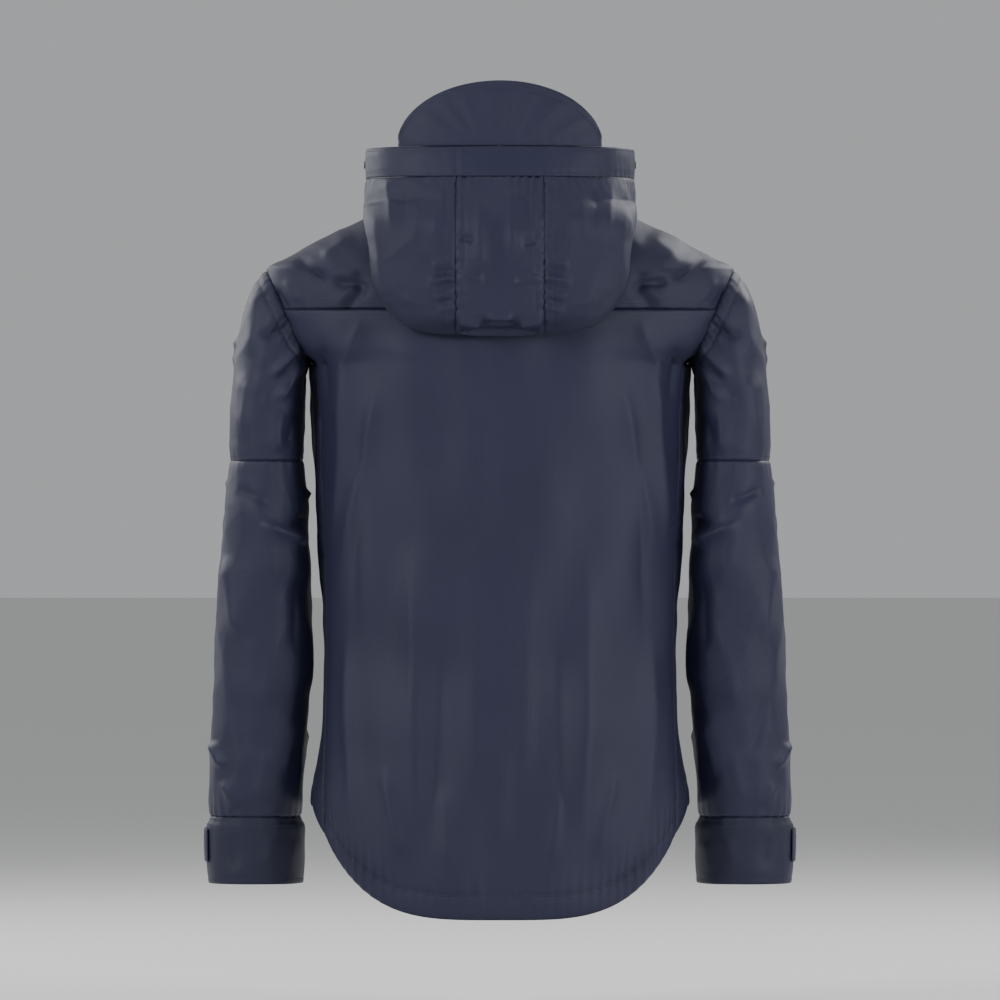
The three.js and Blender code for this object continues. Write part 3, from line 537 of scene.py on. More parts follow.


# Woven face: fine crossed threads from the cloth's own grid, grain and soft blotches from the
# piece's place, and a paler colour where the seam mask is high: seam rub and a painted highlight on the seams.
def buildWovenFace():
    group = bpy.data.node_groups.new("wovenFace", "ShaderNodeTree")
    sockets = group.interface
    for name, kind, value in (
        ("Thread Colour", "NodeSocketColor", (0.03, 0.03, 0.06, 1)),
        ("Lit Colour", "NodeSocketColor", (0.05, 0.05, 0.09, 1)),
        ("Thread Rate", "NodeSocketFloat", 180.0),
        ("Rough", "NodeSocketFloat", 0.6),
        ("Seam Rub", "NodeSocketFloat", 0.3),
    ):
        sockets.new_socket(name=name, in_out="INPUT", socket_type=kind).default_value = value
    results = {"Colour": "NodeSocketColor", "Roughness": "NodeSocketFloat", "Height": "NodeSocketFloat"}
    for name, kind in results.items():
        sockets.new_socket(name=name, in_out="OUTPUT", socket_type=kind)
    entry = addNode(group, "NodeGroupInput", -1200, 0)
    leave = addNode(group, "NodeGroupOutput", 700, 0)
    place = addNode(group, "ShaderNodeTexCoord", -1200, -300)
    cloth = addNode(group, "ShaderNodeUVMap", -1200, 300, uv_map="cloth")
    mask = addNode(group, "ShaderNodeAttribute", -1200, -600, attribute_name="seamMask")
    blotch = addNode(group, "ShaderNodeTexNoise", -900, -200)
    blotch.inputs["Scale"].default_value, blotch.inputs["Detail"].default_value = 9, 5
    grain = addNode(group, "ShaderNodeTexNoise", -900, -450)
    grain.inputs["Scale"].default_value, grain.inputs["Detail"].default_value = 850, 3
    warp = addNode(group, "ShaderNodeTexWave", -900, 350, wave_type="BANDS", bands_direction="X")
    weft = addNode(group, "ShaderNodeTexWave", -900, 100, wave_type="BANDS", bands_direction="Y")
    crossed = addNode(group, "ShaderNodeMath", -650, 250, operation="MULTIPLY")
    weave = addNode(group, "ShaderNodeMath", -450, 200, operation="MULTIPLY_ADD")
    weave.inputs[1].default_value = 0.6
    tone = addNode(group, "ShaderNodeMath", -650, -250, operation="MULTIPLY_ADD")
    tone.inputs[1].default_value = 0.55
    # paler colour along the seams from the seam mask: seam rub and a painted highlight
    rubAndHighlight = addNode(group, "ShaderNodeMath", -450, -450, operation="MULTIPLY")
    toned = addNode(group, "ShaderNodeMath", -250, -250, operation="ADD")
    shift = addNode(group, "ShaderNodeMath", -250, 0, operation="MULTIPLY_ADD")
    shift.inputs[1].default_value = 0.5
    colour = addNode(group, "ShaderNodeMix", 300, 100, data_type="RGBA")
    toneRange = addNode(group, "ShaderNodeMapRange", 0, -200)
    toneRange.inputs["From Min"].default_value, toneRange.inputs["From Max"].default_value = 0.42, 1.05
    rough = addNode(group, "ShaderNodeMath", 300, -150, operation="MULTIPLY_ADD")
    rough.inputs[1].default_value = 0.16
    link = group.links.new
    link(place.outputs["Object"], blotch.inputs["Vector"])
    link(place.outputs["Object"], grain.inputs["Vector"])
    for wave in (warp, weft):
        link(cloth.outputs["UV"], wave.inputs["Vector"])
        link(entry.outputs["Thread Rate"], wave.inputs["Scale"])
    link(warp.outputs["Fac"], crossed.inputs[0])
    link(weft.outputs["Fac"], crossed.inputs[1])
    link(crossed.outputs[0], weave.inputs[0])
    link(grain.outputs["Fac"], weave.inputs[2])
    link(blotch.outputs["Fac"], tone.inputs[0])
    link(grain.outputs["Fac"], shift.inputs[0])
    link(shift.outputs[0], tone.inputs[2])
    link(mask.outputs["Fac"], rubAndHighlight.inputs[0])
    link(entry.outputs["Seam Rub"], rubAndHighlight.inputs[1])
    link(tone.outputs[0], toned.inputs[0])
    link(rubAndHighlight.outputs[0], toned.inputs[1])
    link(toned.outputs[0], toneRange.inputs["Value"])
    link(toneRange.outputs[0], colour.inputs["Factor"])
    link(entry.outputs["Thread Colour"], colour.inputs["A"])
    link(entry.outputs["Lit Colour"], colour.inputs["B"])
    link(blotch.outputs["Fac"], rough.inputs[0])
    link(entry.outputs["Rough"], rough.inputs[2])
    link(colour.outputs["Result"], leave.inputs["Colour"])
    link(rough.outputs[0], leave.inputs["Roughness"])
    link(weave.outputs[0], leave.inputs["Height"])
    return group


wovenFace = buildWovenFace()


# Near its seams the cloth turns paler by the given amount: seam rub and a painted highlight.
def makeFinish(name, look, threadRate=260.0, seamRubAndHighlight=0.25, grainDistance=0.0004):
    material = bpy.data.materials.new(name)
    material.use_nodes = True
    tree = material.node_tree
    shader = tree.nodes["Principled BSDF"]
    face = addNode(tree, "ShaderNodeGroup", -500, 100, node_tree=wovenFace)
    face.inputs["Thread Colour"].default_value = (*look["thread"], 1)
    face.inputs["Lit Colour"].default_value = (*look["lit"], 1)
    face.inputs["Thread Rate"].default_value = threadRate
    face.inputs["Rough"].default_value = look["rough"] - 0.08
    face.inputs["Seam Rub"].default_value = seamRubAndHighlight
    bump = addNode(tree, "ShaderNodeBump", -250, -250)
    bump.inputs["Strength"].default_value = look["bump"]
    bump.inputs["Distance"].default_value = grainDistance
    shader.inputs["Sheen Weight"].default_value = look["sheen"]
    shader.inputs["Sheen Roughness"].default_value = 0.45
    shader.inputs["Specular IOR Level"].default_value = 0.3
    tree.links.new(face.outputs["Colour"], shader.inputs["Base Color"])
    tree.links.new(face.outputs["Roughness"], shader.inputs["Roughness"])
    tree.links.new(face.outputs["Height"], bump.inputs["Height"])
    tree.links.new(bump.outputs["Normal"], shader.inputs["Normal"])
    return material


finish = {name: makeFinish(name, finishLook[name]) for name in ("shell", "panel", "lining", "tape")}
finish["elastic"] = makeFinish("ribKnit", finishLook["elastic"], threadRate=95.0, grainDistance=0.0012)
finish["hookAndLoop"] = makeFinish("loopPile", finishLook["hookAndLoop"], threadRate=130.0,
                                   grainDistance=0.0016)
finish["fleece"] = makeFinish("brushedFleece", finishLook["fleece"], threadRate=210.0, grainDistance=0.0016)
finish["thread"] = makeFinish("sewingThread", finishLook["thread"])


# Moulded plastic: near-black with a faint grain, glossier where the noise is high.
def makePlastic(name, colour, rough):
    material = bpy.data.materials.new(name)
    material.use_nodes = True
    tree = material.node_tree
    shader = tree.nodes["Principled BSDF"]
    place = addNode(tree, "ShaderNodeTexCoord", -900, 0)
    grain = addNode(tree, "ShaderNodeTexNoise", -700, 0)
    grain.inputs["Scale"].default_value, grain.inputs["Detail"].default_value = 600, 4
    scuff = addNode(tree, "ShaderNodeTexNoise", -700, -300)
    scuff.inputs["Scale"].default_value, scuff.inputs["Detail"].default_value = 60, 6
    tint = addNode(tree, "ShaderNodeMix", -400, 100, data_type="RGBA")
    tint.inputs["A"].default_value = (*colour, 1)
    tint.inputs["B"].default_value = (*(min(c * 1.9, 1) for c in colour), 1)
    shine = addNode(tree, "ShaderNodeMapRange", -400, -200)
    shine.inputs["To Min"].default_value, shine.inputs["To Max"].default_value = rough - 0.12, rough + 0.15
    bump = addNode(tree, "ShaderNodeBump", -200, -400)
    bump.inputs["Strength"].default_value, bump.inputs["Distance"].default_value = 0.25, 0.0002
    link = tree.links.new
    link(place.outputs["Object"], grain.inputs["Vector"])
    link(place.outputs["Object"], scuff.inputs["Vector"])
    link(scuff.outputs["Fac"], tint.inputs["Factor"])
    link(tint.outputs["Result"], shader.inputs["Base Color"])
    link(scuff.outputs["Fac"], shine.inputs["Value"])
    link(shine.outputs[0], shader.inputs["Roughness"])
    link(grain.outputs["Fac"], bump.inputs["Height"])
    link(bump.outputs["Normal"], shader.inputs["Normal"])
    return material


finish["plastic"] = makePlastic("mouldedPlastic", (0.012, 0.013, 0.018), 0.42)
print("finishes ready")

# Back and yoke

backLook = {
    "columns": 150, "rows": 205, "puff": 2.6, "waves": 2.7, "hemTunnel": 25, "gather": 2.0,
    "folds": [  # (start, end, width, height) with x out from the middle and heights above the hem
        ((165, 640), (181, 380), 13, 2.6), ((130, 600), (170, 380), 12, 2.4),
        ((148, 560), (158, 300), 9, -1.6), ((96, 420), (90, 60), 20, 3.0),
        ((62, 330), (70, 70), 16, -1.8), ((34, 470), (26, 90), 22, 1.8),
        ((168, 330), (160, 80), 12, 2.2), ((195, 640), (183, 560), 8, -1.6),
        ((150, 655), (176, 590), 7, 1.5), ((128, 170), (104, 60), 9, 1.8), ((66, 150), (54, 50), 8, 1.4),
        ((0, 200), (2, 60), 14, 1.2),
    ],
}


def backPanelRelief(points, away, nearest, u, v):
    x, z = points[..., 0], points[..., 2]
    side = np.abs(x)
    height = swell(nearest, backLook["puff"]) + groove(away["low"], backLook["hemTunnel"], 1.1, 4)
    height += groove(away["high"], 7, 0.4) + groove(away["left"], 6, 0.5) + groove(away["right"], 6, 0.5)
    for i, (start, end, width, rise) in enumerate(backLook["folds"]):
        lean = 1 + 0.16 * np.where(x > 0, np.sin(i * 2.3), np.cos(i * 1.7))
        height += fold(side, z, start, end, width, rise * lean)
    height += ripple(x, z * 0.6, 95, backLook["waves"], 11) * smooth(nearest / 50)
    height += crumple(x, z * 0.5, 74, 1.3, 12) * smooth(nearest / 40)
    reach = (u - 0.5) * 620
    busy = 0.55 + 0.45 * smooth((np.abs(reach) - 40) / 60)
    tunnel = np.abs(away["low"] - backLook["hemTunnel"])
    height += gather(reach, tunnel, 17, backLook["gather"], 17, 13) * busy
    height += gather(z, np.minimum(away["left"], away["right"]), 21, 0.55, 9, 14)
    return height


clothPiece(
    "backPanel", region(body, backEdge, lambda rise: np.pi - backEdge(rise), hemAt, level(yokeLevel - 0.3)),
    backLook["columns"], backLook["rows"], finish["shell"], backPanelRelief,
    (("low", 24), ("low", 27), ("high", 7), ("left", 5.5), ("right", 5.5)),
)
settle(pieces["backPanel"], "torso", ["back_panel"])

yokeLook = {
    "columns": 170, "rows": 56, "puff": 1.8, "gather": 0.9,
    "folds": [
        ((226, 722), (184, 694), 6, -2.2), ((186, 694), (142, 691), 6, -2.4),
        ((188, 703), (150, 701), 7, 2.4), ((141, 694), (172, 660), 6, -1.8),
        ((152, 694), (184, 664), 7, 1.8), ((236, 700), (214, 668), 6, 1.6),
        ((160, 745), (196, 716), 12, 1.8), ((246, 690), (232, 664), 5, -1.2),
    ],
}


def yokeRelief(points, away, nearest, u, v):
    x, z = points[..., 0], points[..., 2]
    height = swell(nearest, yokeLook["puff"]) + groove(away["low"], 6, 0.5)
    for i, (start, end, width, rise) in enumerate(yokeLook["folds"]):
        lean = 1 + 0.18 * np.where(x > 0, np.cos(i * 1.9), np.sin(i * 2.1))
        height += fold(np.abs(x), z, start, end, width, rise * lean)
    height += gather(x, away["low"], 19, yokeLook["gather"], 8, 21)
    height += gather(z * 1.6, np.minimum(away["left"], away["right"]), 13, 0.9, 9, 22)
    return height + crumple(x, z, 40, 2.2, 23) * smooth(nearest / 20) * smooth((np.abs(x) - 90) / 60)


clothPiece(
    "backYoke", region(body, yokeEdge, lambda rise: np.pi - yokeEdge(rise), level(yokeLevel + 0.3),
                       level(nape - 0.3)),
    yokeLook["columns"], yokeLook["rows"], finish["shell"], yokeRelief,
    (("low", 4.5), ("low", 8)),
)
settle(pieces["backYoke"], "torso", ["back_yoke"])

# Sides, fronts and collar

sideLook = {"columns": 46, "rows": 170, "puff": 1.6}
frontLook = {"columns": 52, "rows": 215, "puff": 1.8, "bendWidth": 26}


def sideRelief(points, away, nearest, u, v):
    y, z = points[..., 1], points[..., 2]
    height = swell(nearest, sideLook["puff"]) + ripple(y, z, 60, 0.9, 31) * smooth(nearest / 25)
    height += groove(away["low"], 25, 0.9, 4)
    height += gather(z, np.minimum(away["left"], away["right"]), 18, 0.6, 8, 32)
    height += foldSum(y, z, (
        ((0, 590), (-40, 400), 12, 2.0), ((40, 560), (10, 330), 12, 1.6),
        ((-30, 360), (10, 150), 14, -1.6), ((60, 340), (70, 130), 12, 1.6),
    ))
    return height


def frontRelief(points, away, nearest, u, v):
    x, z = np.abs(points[..., 0]), points[..., 2]
    height = swell(nearest, frontLook["puff"]) + groove(away["low"], 25, 0.8, 4)
    height += ripple(x, z * 0.7, 80, 0.8, 41) * smooth(nearest / 30)
    height += gather(z, away["right"], 23, 0.6, 8, 42) + gather(z, away["left"], 31, 0.35, 10, 43)
    height += foldSum(x, z, (
        ((104, 560), (76, 420), 12, 1.7), ((60, 640), (30, 520), 12, -1.2),
        ((40, 180), (50, 130), 9, 1.2), ((110, 170), (100, 125), 8, 1.0),
    ))
    return height


def frontSideRelief(points, away, nearest, u, v):
    x, z = np.abs(points[..., 0]), points[..., 2]
    height = swell(nearest, frontLook["puff"]) + groove(away["low"], 25, 0.8, 4)
    height += foldSum(x, z, (
        ((196, 610), (140, 520), 10, 2.0), ((205, 650), (130, 640), 9, -1.6),
        ((170, 480), (150, 300), 12, 1.5), ((230, 700), (150, 700), 9, 1.4),
    ))
    height += gather(z, np.minimum(away["left"], away["right"]), 19, 0.7, 8, 51)
    return height + ripple(x, z, 60, 0.7, 52) * smooth(nearest / 24)


seamRises = np.linspace(hemRise, nape, 400)
seamLine = body(-frontSeamTurn(seamRises), seamRises)


# A front's bend rule: how far in from its seam a place lies, in bend widths.
def frontBend(places):
    out = np.abs(places[:, 0]) - np.interp(places[:, 2], seamLine[:, 2], seamLine[:, 0])
    return -out / frontLook["bendWidth"]


sidePanelAt = region(body, level(-sidePanelFront), sideSeamTurn, hemAt, level(armpit - 0.3))
frontSideAt = region(
    body, lambda rise: -frontSeamTurn(rise), lambda rise: -frontEdge(rise), level(hemRise), level(nape - 0.3)
)
frontAt = region(
    body, lambda rise: -turnAtX(rise, zipEdge), lambda rise: -frontSeamTurn(rise), level(hemRise), level(nape - 0.3)
)
for side, isRight in (("left", False), ("right", True)):
    sidePanel = clothPiece(
        f"sidePanel_{side}", sidePanelAt, sideLook["columns"], sideLook["rows"], finish["panel"],
        sideRelief, (("low", 24), ("low", 27), ("right", 5.5)), isMirrored=isRight,
    )
    settle(sidePanel, "torso", [f"side_panel_{side}"])
    frontSide = clothPiece(
        f"frontSide_{side}", frontSideAt, 44, frontLook["rows"], finish["shell"], frontSideRelief,
        (("low", 24), ("low", 27), ("left", 5.5)), isMirrored=isRight,
    )
    settle(frontSide, "torso", [f"front_side_panel_{side}"])
    front = clothPiece(
        f"front_{side}", frontAt, frontLook["columns"], frontLook["rows"], finish["shell"], frontRelief,
        (("low", 24), ("low", 27), ("left", 6), ("left", 12)), isMirrored=isRight,
    )
    settle(front, None, [f"front_panel_{side}"])
    setBend(front, frontBend)
print("back, yoke, sides and fronts made")

collarLook = {"lean": 0.04, "thickness": 2.9, "frontThickness": 1.6}
neckTurn = frontSeamTurn(nape)


# Stand-up collar: the neck seam carried up, leaning in a little.
def collar(turn, share):
    base = body(turn, nape)
    front = np.clip(-np.sin(turn), 0, 1) ** 2
    rise = mix(bodyCut["collarBack"], bodyCut["collarFront"] + bodyCut["neckFrontDrop"], front)
    height = base[..., 2] + share * rise
    lean = 1 - collarLook["lean"] * share
    frontLean = frontDepthAt(height) / frontDepthAt(nape - bodyCut["neckFrontDrop"])
    deep = base[..., 1] * np.where(np.sin(turn) > 0, lean, frontLean)
    return np.stack([base[..., 0] * lean, deep, height], -1)


def collarRelief(points, away, nearest, u, v):
    height = swell(nearest, 1.2, 9, 0.8) + gather(points[..., 0], away["low"], 16, 0.6, 8, 61)
    return height + groove(away["high"], 6, 0.5) + ripple(points[..., 0], points[..., 2], 40, 0.5, 62)


clothPiece(
    "collarBack", lambda u, v: collar(mix(-neckTurn, np.pi + neckTurn, u), v), 150, 20, finish["fleece"],
    collarRelief, (("high", 5), ("low", 3)), thickness=collarLook["thickness"],
)
settle(pieces["collarBack"], "torso", ["collar_back"])


def collarFrontAt(u, v):
    return collar(-mix(turnAtX(nape, zipEdge), neckTurn + 0.004, u), v)


liningLook = {"inset": 9, "facing": 34, "thickness": 1.2, "seamHalf": 0.0025}


def liningRelief(points, away, nearest, u, v):
    height = ripple(points[..., 0] + points[..., 1], points[..., 2], 90, 1.1, 63) * smooth(nearest / 25)
    return -np.abs(height)


hemNear = sideSeamTurn(yokeLevel / 2) + liningLook["seamHalf"]
hemCorner = sideSeamTurn(hemAt(hemNear)) + liningLook["seamHalf"]


def panelHemAt(turn):  # the back panel's curve, then straight up the side
    fromSide = np.minimum(turn, np.pi - turn)
    side = mix(hemRise, hemAt(hemNear), fromSide / hemCorner)
    behind = hemAt(mix(hemNear, quarter, np.clip((fromSide - hemCorner) / (quarter - hemCorner), 0, 1)))
    return np.where(fromSide < hemCorner, side, behind)


bodyLiningAt = offset(region(
    body, yokeEdge, lambda rise: np.pi - yokeEdge(rise),
    lambda turn: panelHemAt(turn) + liningLook["facing"] + 3, level(nape - 2),
), -liningLook["inset"])
clothPiece("bodyLining", bodyLiningAt, 96, 110, finish["lining"], liningRelief, (("low", 6), ("high", 5)),
           thickness=liningLook["thickness"])
settle(pieces["bodyLining"], "torso", ["body_lining"])


def hemBand(low, high, depth):  # a strip inside the back panel's hem, between two heights above it
    def strip(u, v):
        rise = hemAt(mix(hemNear, np.pi - hemNear, u)) + mix(low, high, v)
        edge = sideSeamTurn(rise) + liningLook["seamHalf"]
        return body(mix(edge, np.pi - edge, u), rise)

    return offset(strip, -depth)


clothPiece("hemFacing", hemBand(2, liningLook["facing"], liningLook["inset"]), 120, 12, finish["lining"],
           lambda points, away, nearest, u, v: gather(points[..., 0], away["high"], 17, 0.5, 15, 64),
           (("high", 4),), thickness=1.2)
settle(pieces["hemFacing"], "torso", ["hem_facing"])
clothPiece("hemElastic", hemBand(14, 22, 4), 200, 5, finish["elastic"],
           lambda points, away, nearest, u, v: 0.3 * np.sin(points[..., 0] * 1.1), thickness=1.2)
settle(pieces["hemElastic"], "torso", ["hem_elastic"])

# Pockets

pocketCut = {"inner": 20, "width": 88, "low": 186, "height": 130, "full": 14, "flap": 52, "over": 5,
             "bend": 2 / 3}
pocketTop = pocketCut["low"] + pocketCut["height"]
flapLow = pocketTop - pocketCut["flap"] * 0.62


def pocketStand(u, v):  # nothing at the three sewn edges, full at the mouth
    sides = np.minimum(1, 6 * np.minimum(u, 1 - u))
    return 2 + pocketCut["full"] * np.sqrt(sides * np.minimum(1, 6 * v))


def pocketFace(u, v):
    return frontAtX(pocketCut["inner"] + u * pocketCut["width"], mix(pocketCut["low"], pocketTop, v))


def flapStand(u, v):
    full = pocketCut["full"] + 6
    return mix(full, 2.4, np.clip(v - pocketCut["bend"], 0, 1) / (1 - pocketCut["bend"]))


def flapFace(u, v):
    reach = pocketCut["width"] + 2 * pocketCut["over"]
    x = pocketCut["inner"] - pocketCut["over"] + u * reach
    return frontAtX(x, mix(flapLow, flapLow + pocketCut["flap"], v))


def patchFace(u, v):
    x = pocketCut["inner"] + mix(0.3, 0.7, u) * pocketCut["width"]
    return frontAtX(x, mix(flapLow + 4, flapLow + 18, v))


def pocketRelief(points, away, nearest, u, v):
    x, z = points[..., 0], points[..., 2]
    uneven = ripple(x, z, 45, 0.7, 71) * smooth(nearest / 15)
    return groove(nearest, 5, 0.5) + uneven - 0.8 * np.exp(-nearest / 2)


def flapRelief(points, away, nearest, u, v):
    return groove(nearest, 5, 0.35) + ripple(points[..., 0], points[..., 2], 40, 0.25, 72)


for side, isRight in (("left", False), ("right", True)):
    ends = (("left", 3), ("right", 3), ("low", 3))
    pocket = clothPiece(f"patchPocket_{side}", offset(pocketFace, pocketStand), 60, 80, finish["shell"],
                        pocketRelief,
                        ends + (("high", 5), ("high", 8)), isMirrored=isRight, thickness=1.2)
    settle(pocket, f"front_{side}", [f"pocket_{side}"])
    flap = clothPiece(f"pocketFlap_{side}", offset(flapFace, flapStand), 66, 36, finish["shell"],
                      flapRelief,
                      ends + (("high", 3), ("low", 7)), isMirrored=isRight, thickness=1.6)
    settle(flap, f"flap_{side}", [f"pocket_flap_{side}"])
    patch = clothPiece(f"pocketPatch_{side}", offset(patchFace, 17.6), 44, 18, finish["hookAndLoop"],
                       rippled(5, 0.12, 73), isMirrored=isRight, thickness=0.8)
    settle(patch, f"front_{side}", [f"pocket_patch_{side}"])
print("collar, linings and pockets made")

# Zip, on a straight line from the front hem up to the top of the collar

zipCut = {"box": 12, "slider": 14, "toothGap": 0.3, "toothWidth": 1.8, "tape": 12, "inset": 2.6,
          "pitch": 2.6}
zipLow = np.array([0, -bodyCut["hemDepth"], hemRise], float)
zipHigh = np.array([0, -bodyCut["collarDepth"], collarTop], float)
zipLength = float(np.linalg.norm(zipHigh - zipLow))
zipUp = (zipHigh - zipLow) / zipLength
zipOut = np.cross(zipUp, [1, 0, 0])
if zipOut[1] > 0:
    zipOut = -zipOut


def onZip(x, out, along):  # a place by its distances sideways, outwards and up from the zip's lower end
    x, out, along = np.broadcast_arrays(x, out, along)
    sideways = x[..., None] * np.array([1.0, 0, 0])
    return zipLow + sideways + out[..., None] * zipOut + along[..., None] * zipUp


# One tooth is a six-sided block with a narrower head, repeated up its side of the zip by adding steps.
def toothRow(name, start, end, sign, rider, nodes):
    gap, reach = zipCut["toothGap"] - 0.1, zipCut["toothGap"] + zipCut["toothWidth"] + 0.6
    count = int((end - start) / zipCut["pitch"])
    neck = gap + 0.5
    section = np.array([(gap, 0.35), (neck, 0.62), (reach, 0.55), (reach, -0.55), (neck, -0.62),
                        (gap, -0.35)])
    deep = np.array([-3.6, -3.2, -0.9, -0.6])
    scale = np.array([0.7, 1.0, 1.0, 0.7])
    x = sign * (reach + (section[None, :, 0] - reach) * (0.8 + 0.2 * scale[:, None]))
    rise = section[None, :, 1] * scale[:, None]
    out = np.broadcast_to(deep[:, None], x.shape)
    base = start + zipCut["pitch"] * (np.arange(count) + 0.5 + (0.0 if sign > 0 else 0.5))
    points = onZip(x[None], out[None], base[:, None, None] + rise[None]).reshape(-1, 3)
    around, layer = np.arange(6), np.arange(3)
    a = layer[:, None] * 6 + around
    b = layer[:, None] * 6 + (around + 1) % 6
    sides = np.stack([a, b, b + 6, a + 6], -1).reshape(-1, 4)
    caps = np.array([(5, 4, 1, 0), (4, 3, 2, 1), (18, 19, 22, 23), (19, 20, 21, 22)])
    faces = np.concatenate([sides, caps])
    if sign > 0:
        faces = faces[:, ::-1]
    faces = (faces[None] + 24 * np.arange(count)[:, None, None]).reshape(-1, 4)
    obj = makeMesh(name, points, [faces], [np.zeros((len(faces), 4, 2))], [np.zeros(len(faces))],
                   [finish["plastic"]])
    obj.data.polygons.foreach_set("use_smooth", np.zeros(len(faces), bool))
    settle(obj, rider, nodes)


def tapeRelief(points, away, nearest, u, v):
    return 0.12 * np.sin(points[..., 2] * 2.4) + 0.35 * np.exp(-(((away["left"] - 1) / 1.2) ** 2))


zipStart = {"left": zipCut["box"] + 1, "right": zipCut["box"] + 4 + zipCut["slider"] + 4}
toothOuter = zipCut["toothGap"] + zipCut["toothWidth"]
for side, sign in (("left", 1), ("right", -1)):
    start = zipStart[side]
    tapeAt = lambda u, v: onZip(
        toothOuter + 0.5 + u * (zipCut["tape"] - 0.2), -zipCut["inset"] + 0 * u,
        mix(start, zipLength - 2, v)
    )
    tape = clothPiece(f"zipTape_{side}", tapeAt, 10, 320, finish["tape"], tapeRelief, (("right", 2.5),),
                      isMirrored=sign < 0, thickness=0.8)
    settle(tape, f"front_{side}", [f"zip_tape_{side}"])
    toothRow(f"zipTeeth_{side}", start + 1, zipLength - 4, sign, f"front_{side}", [f"zip_teeth_{side}"])
    facingStrip = clothPiece(
        f"frontFacing_{side}",
        offset(lambda u, v: frontAtX(mix(4, 44, u), mix(hemRise + 4, yokeLevel - 8, v)),
               -liningLook["inset"]),
        12, 140, finish["lining"],
        lambda points, away, nearest, u, v: -np.abs(ripple(points[..., 0], points[..., 2], 50, 0.5, 74)),
        (("right", 3),), isMirrored=sign < 0, thickness=1.2,
    )
    settle(facingStrip, f"front_{side}", [f"front_facing_{side}"])
    collarFront = clothPiece(
        f"collarFront_{side}", collarFrontAt, 60, 30, finish["fleece"], collarRelief,
        (("left", 5), ("high", 5)),
        isMirrored=sign < 0, thickness=collarLook["frontThickness"],
    )
    settle(collarFront, None, [f"collar_front_{side}"])
    setBend(collarFront, frontBend)
for node in ("zip_box", "zip_slider", "zip_pull"):
    for materialSlot in bpy.data.objects[node].material_slots:
        materialSlot.material = finish["plastic"]
print("zip made")

# Hood

hoodCut = {
    "drop": 149, "half": 148, "panelHalf": 48, "full": 176, "frontY": 8, "power": 3, "clear": 13,
    "bandRise": 23.5, "band": 33, "peakHalf": 113, "peak": 71.5, "peakLean": 0.12,
}
hoodLow, bandSeam = nape - hoodCut["drop"], nape + hoodCut["bandRise"]
bandTop, hoodHalf = bandSeam + hoodCut["band"], hoodCut["half"]
backDepth = bodyCut["backDepth"]
hoodOutline = profile(
    (hoodLow, hoodHalf * 0.34), (hoodLow + 4, hoodHalf * 0.55), (hoodLow + 13, hoodHalf * 0.72),
    (hoodLow + 56, hoodHalf * 0.925), (hoodLow + 95, hoodHalf * 0.953), (nape - 16, hoodHalf),
    (bandTop, hoodHalf),
)
hoodBack = profile(
    (hoodLow, backDepth + 12), (hoodLow + 6, mix(backDepth, hoodCut["full"], 0.5)),
    (hoodLow + 24, mix(backDepth, hoodCut["full"], 0.88)), (hoodLow + 60, hoodCut["full"]),
    (nape - 40, hoodCut["full"] - 4), (bandSeam, hoodCut["full"] - 36), (bandTop, hoodCut["full"] - 46),
)


# Depth of the back at a place seen from behind; above the shoulder there is none.
def backSurfaceY(x, height):
    def turnAt(rise):
        return lastTrue(np.zeros(x.shape), np.full(x.shape, quarter),
                        lambda turn: body(turn, rise)[..., 0] > x)

    def covers(rise):
        point = body(turnAt(rise), rise)
        return (point[..., 2] < height) & (body(0, rise)[..., 0] > x)

    rise = lastTrue(np.full(x.shape, yokeLevel), np.full(x.shape, nape), covers)
    low = body(turnAt(np.minimum(height, yokeLevel)), np.minimum(height, yokeLevel))
    high = body(turnAt(rise), rise)
    depth = np.where(height <= yokeLevel, low[..., 1], high[..., 1])
    return np.where((height > yokeLevel) & (height - high[..., 2] > 1), -np.inf, depth)


edgeLevels = np.linspace(hoodLow, bandTop, 29)
edgeDepths = backSurfaceY(hoodOutline(edgeLevels), edgeLevels - hoodCut["clear"]) + hoodCut["clear"]
hoodEdgeY = profile(*zip(edgeLevels, np.maximum(hoodCut["frontY"], edgeDepths)))


# Hood: turn 0 is its left edge and a quarter turn the middle of its back, on a boxy section at each height.
def hood(turn, height):
    turn, height = np.broadcast_arrays(np.asarray(turn, float), np.asarray(height, float))
    edge = hoodEdgeY(height)
    c = rounded(np.cos(turn), hoodCut["power"])
    s = rounded(np.clip(np.sin(turn), 0, 1), hoodCut["power"])
    y = mix(edge, np.maximum(hoodBack(height), edge + 4), s)
    return np.stack([hoodOutline(height) * c, y, height], -1)


def hoodSeamTurn(height):
    return turnFor(np.minimum(hoodCut["panelHalf"] / hoodOutline(height), 0.8), hoodCut["power"])


